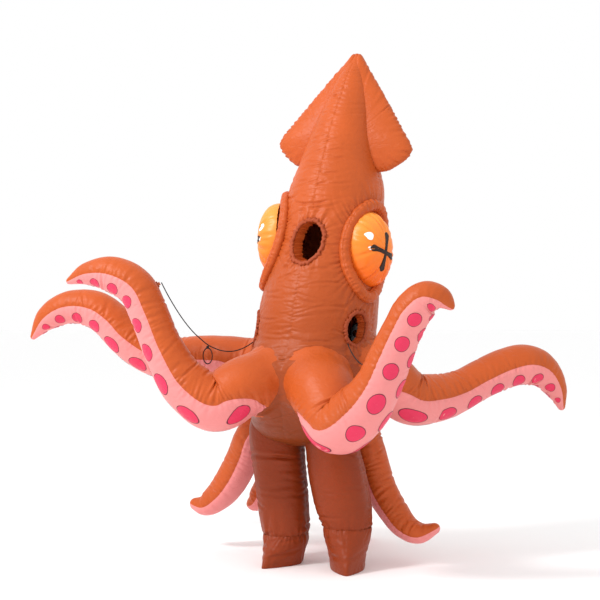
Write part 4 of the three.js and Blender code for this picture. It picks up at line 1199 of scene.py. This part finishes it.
def add_shoe(side, leg, seed):
    """A pointed cover that rises from a flat sole to the round ankle."""
    ankle = np.array(leg["ankle"], float)
    top, neck = ankle[2] - FLOOR, leg["radii"][-1]
    columns = 144
    turn = np.linspace(0, 2 * math.pi, columns, endpoint=False)
    forward = np.cos(turn)
    rises = np.concatenate([np.zeros(10), np.linspace(0, 1, 60)])
    fills = np.concatenate([np.linspace(0.04, 0.97, 10), np.ones(60)])
    share = np.interp(rises, (0, 0.05, 0.14, 0.42, 0.75, 1), (0.0, 0.02, 0.06, 0.34, 0.78, 1))
    share, rise, fill = share[:, None], rises[:, None], fills[:, None]
    reach = np.where(forward > 0, SHOE["toe"], SHOE["heel"])
    pinch = 1 - 0.52 * np.maximum(forward, 0) ** 2 * (1 - share)
    length = (reach + (neck - reach) * share) * forward
    wide = (SHOE["width"] + (neck - SHOE["width"]) * share) * pinch * np.sin(turn)
    z = np.repeat(rise * top, columns, axis=1)
    off = top - z
    around = np.repeat((turn * neck)[None], len(rises), axis=0)
    rng = np.random.default_rng(seed)
    ends = 2 * math.pi * neck
    puff = gathers(rng, around, off, 0, ends, *GATHERS["shoe_ankle"])
    puff += gathers(rng, around, z, 0, ends, *GATHERS["shoe_sole"])
    puff -= 4 * np.exp(-(off / 8) ** 1.3)
    for _ in range(SHOE_FOLDS):
        place = top * rng.uniform(0.25, 0.95)
        near = (turn - rng.uniform(-1.2, 1.2) + math.pi) % (2 * math.pi) - math.pi
        x = (z - place - rng.uniform(-30, 30) * near[None]) / rng.uniform(5, 9)
        puff += fold_line(x, rng.uniform(1, 3)) * np.clip(1 - (near / 0.8) ** 2, 0, 1)[None]
    puff += 1.6 * wander(np.stack([wide, -length, z], -1), 50, seed)
    puff *= np.clip(z / 12, 0, 1)
    heel = np.clip(-forward, 0, 1) ** 1.3 * fill
    z = z + SHOE["lift"] * heel * (1 - rise) ** 1.6
    grid = np.stack([wide * fill + puff * np.sin(turn), -(length * fill + puff * forward), z], -1)
    c, s = math.cos(math.radians(leg["turn"])), math.sin(math.radians(leg["turn"]))
    grid = grid @ np.array([[c, s, 0], [-s, c, 0], [0, 0, 1]]) + (ankle[0], ankle[1], FLOOR)
    cover = grid_object(f"shoe_cover_{side}_skin", metres(grid), wrap=True)
    # the shoe covers take the same darker nylon with its painted shade
    dress(cover, "nylon_dark", "nylon_dark", f"leg_{side}", f"shoe_cover_{side}")


# ---- Cords ----
def tube_grid(path, radius, sides=12):
    path = np.asarray(path, float)
    along = unit(np.gradient(path, axis=0))
    flat = unit(np.cross(along, [0.3, 0.2, 1.0]))
    over = np.cross(flat, along)
    turn = np.linspace(0, 2 * math.pi, sides, endpoint=False)
    return (path[:, None] + radius * (flat[:, None] * np.cos(turn)[None, :, None]
                                      + over[:, None] * np.sin(turn)[None, :, None]))


def add_cord(side):
    route, run = catmull(CORDS[side], 90)
    path = metres(route)
    grid = tube_grid(route, CORD_WIDTH / 2)
    middle = route[:1, None] * np.ones((1, 12, 1))
    end = route[-1:, None] * np.ones((1, 12, 1))
    cord = grid_object(f"cord_{side}_braid", metres(np.concatenate([middle, grid, end])), wrap=True)
    dress_bending(cord, "cord", "cord", (f"tentacle_front_{side}", "root"), tuple(path[0]),
                  tuple(path[-1]), f"cord_{side}")


# ---- CAD pieces that stay ----
KEPT = {
    "zip_metal": ["zip_slider", "zip_pull"],
    "plastic": ["fan_housing", "fan_clamp_ring", "fan_grille", "fan_impeller", "battery_case",
                "battery_lid", "power_switch"],
    "motor": ["fan_motor"],
    "cell": [f"battery_cell_{n}" for n in (1, 2, 3, 4)],
    "cable": ["fan_cable"],
    "webbing": ["cord_tab_left", "cord_tab_right"],
    "cord": ["wrist_loop_left", "wrist_loop_right"],
    "zip_tape": ["zip_stringer_left", "zip_stringer_right"],
}


def paint_kept_nodes():
    for material, nodes in KEPT.items():
        for name in nodes:
            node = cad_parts[name]
            if not node.data.materials:
                node.data.materials.append(PAINT[material])
            node.material_slots[0].material = PAINT[material]


add_camera()
PAINT = make_materials()
for cord_side in ("left", "right"):
    add_cord(cord_side)
add_stage()
add_trunk()
add_hem("face_opening_hem", FACE, "root", 45, 61)
for side_name, side_sign in (("left", -1), ("right", 1)):
    add_hem(f"arm_cuff_{side_name}", dict(ARMHOLE, angle=side_sign * ARMHOLE["angle"]), "root",
            30, 62 + side_sign)
    add_fin(side_name, side_sign)
    add_eye(side_name, side_sign)
    add_eyelid(side_name, side_sign)
for order, (tentacle_name, tentacle_sizes) in enumerate(TENTACLES.items()):
    add_tentacle(tentacle_name, tentacle_sizes, 100 + order)
for order, (leg_side, leg_sizes) in enumerate(LEGS.items()):
    add_leg(leg_side, leg_sizes, 200 + order)
paint_kept_nodes()
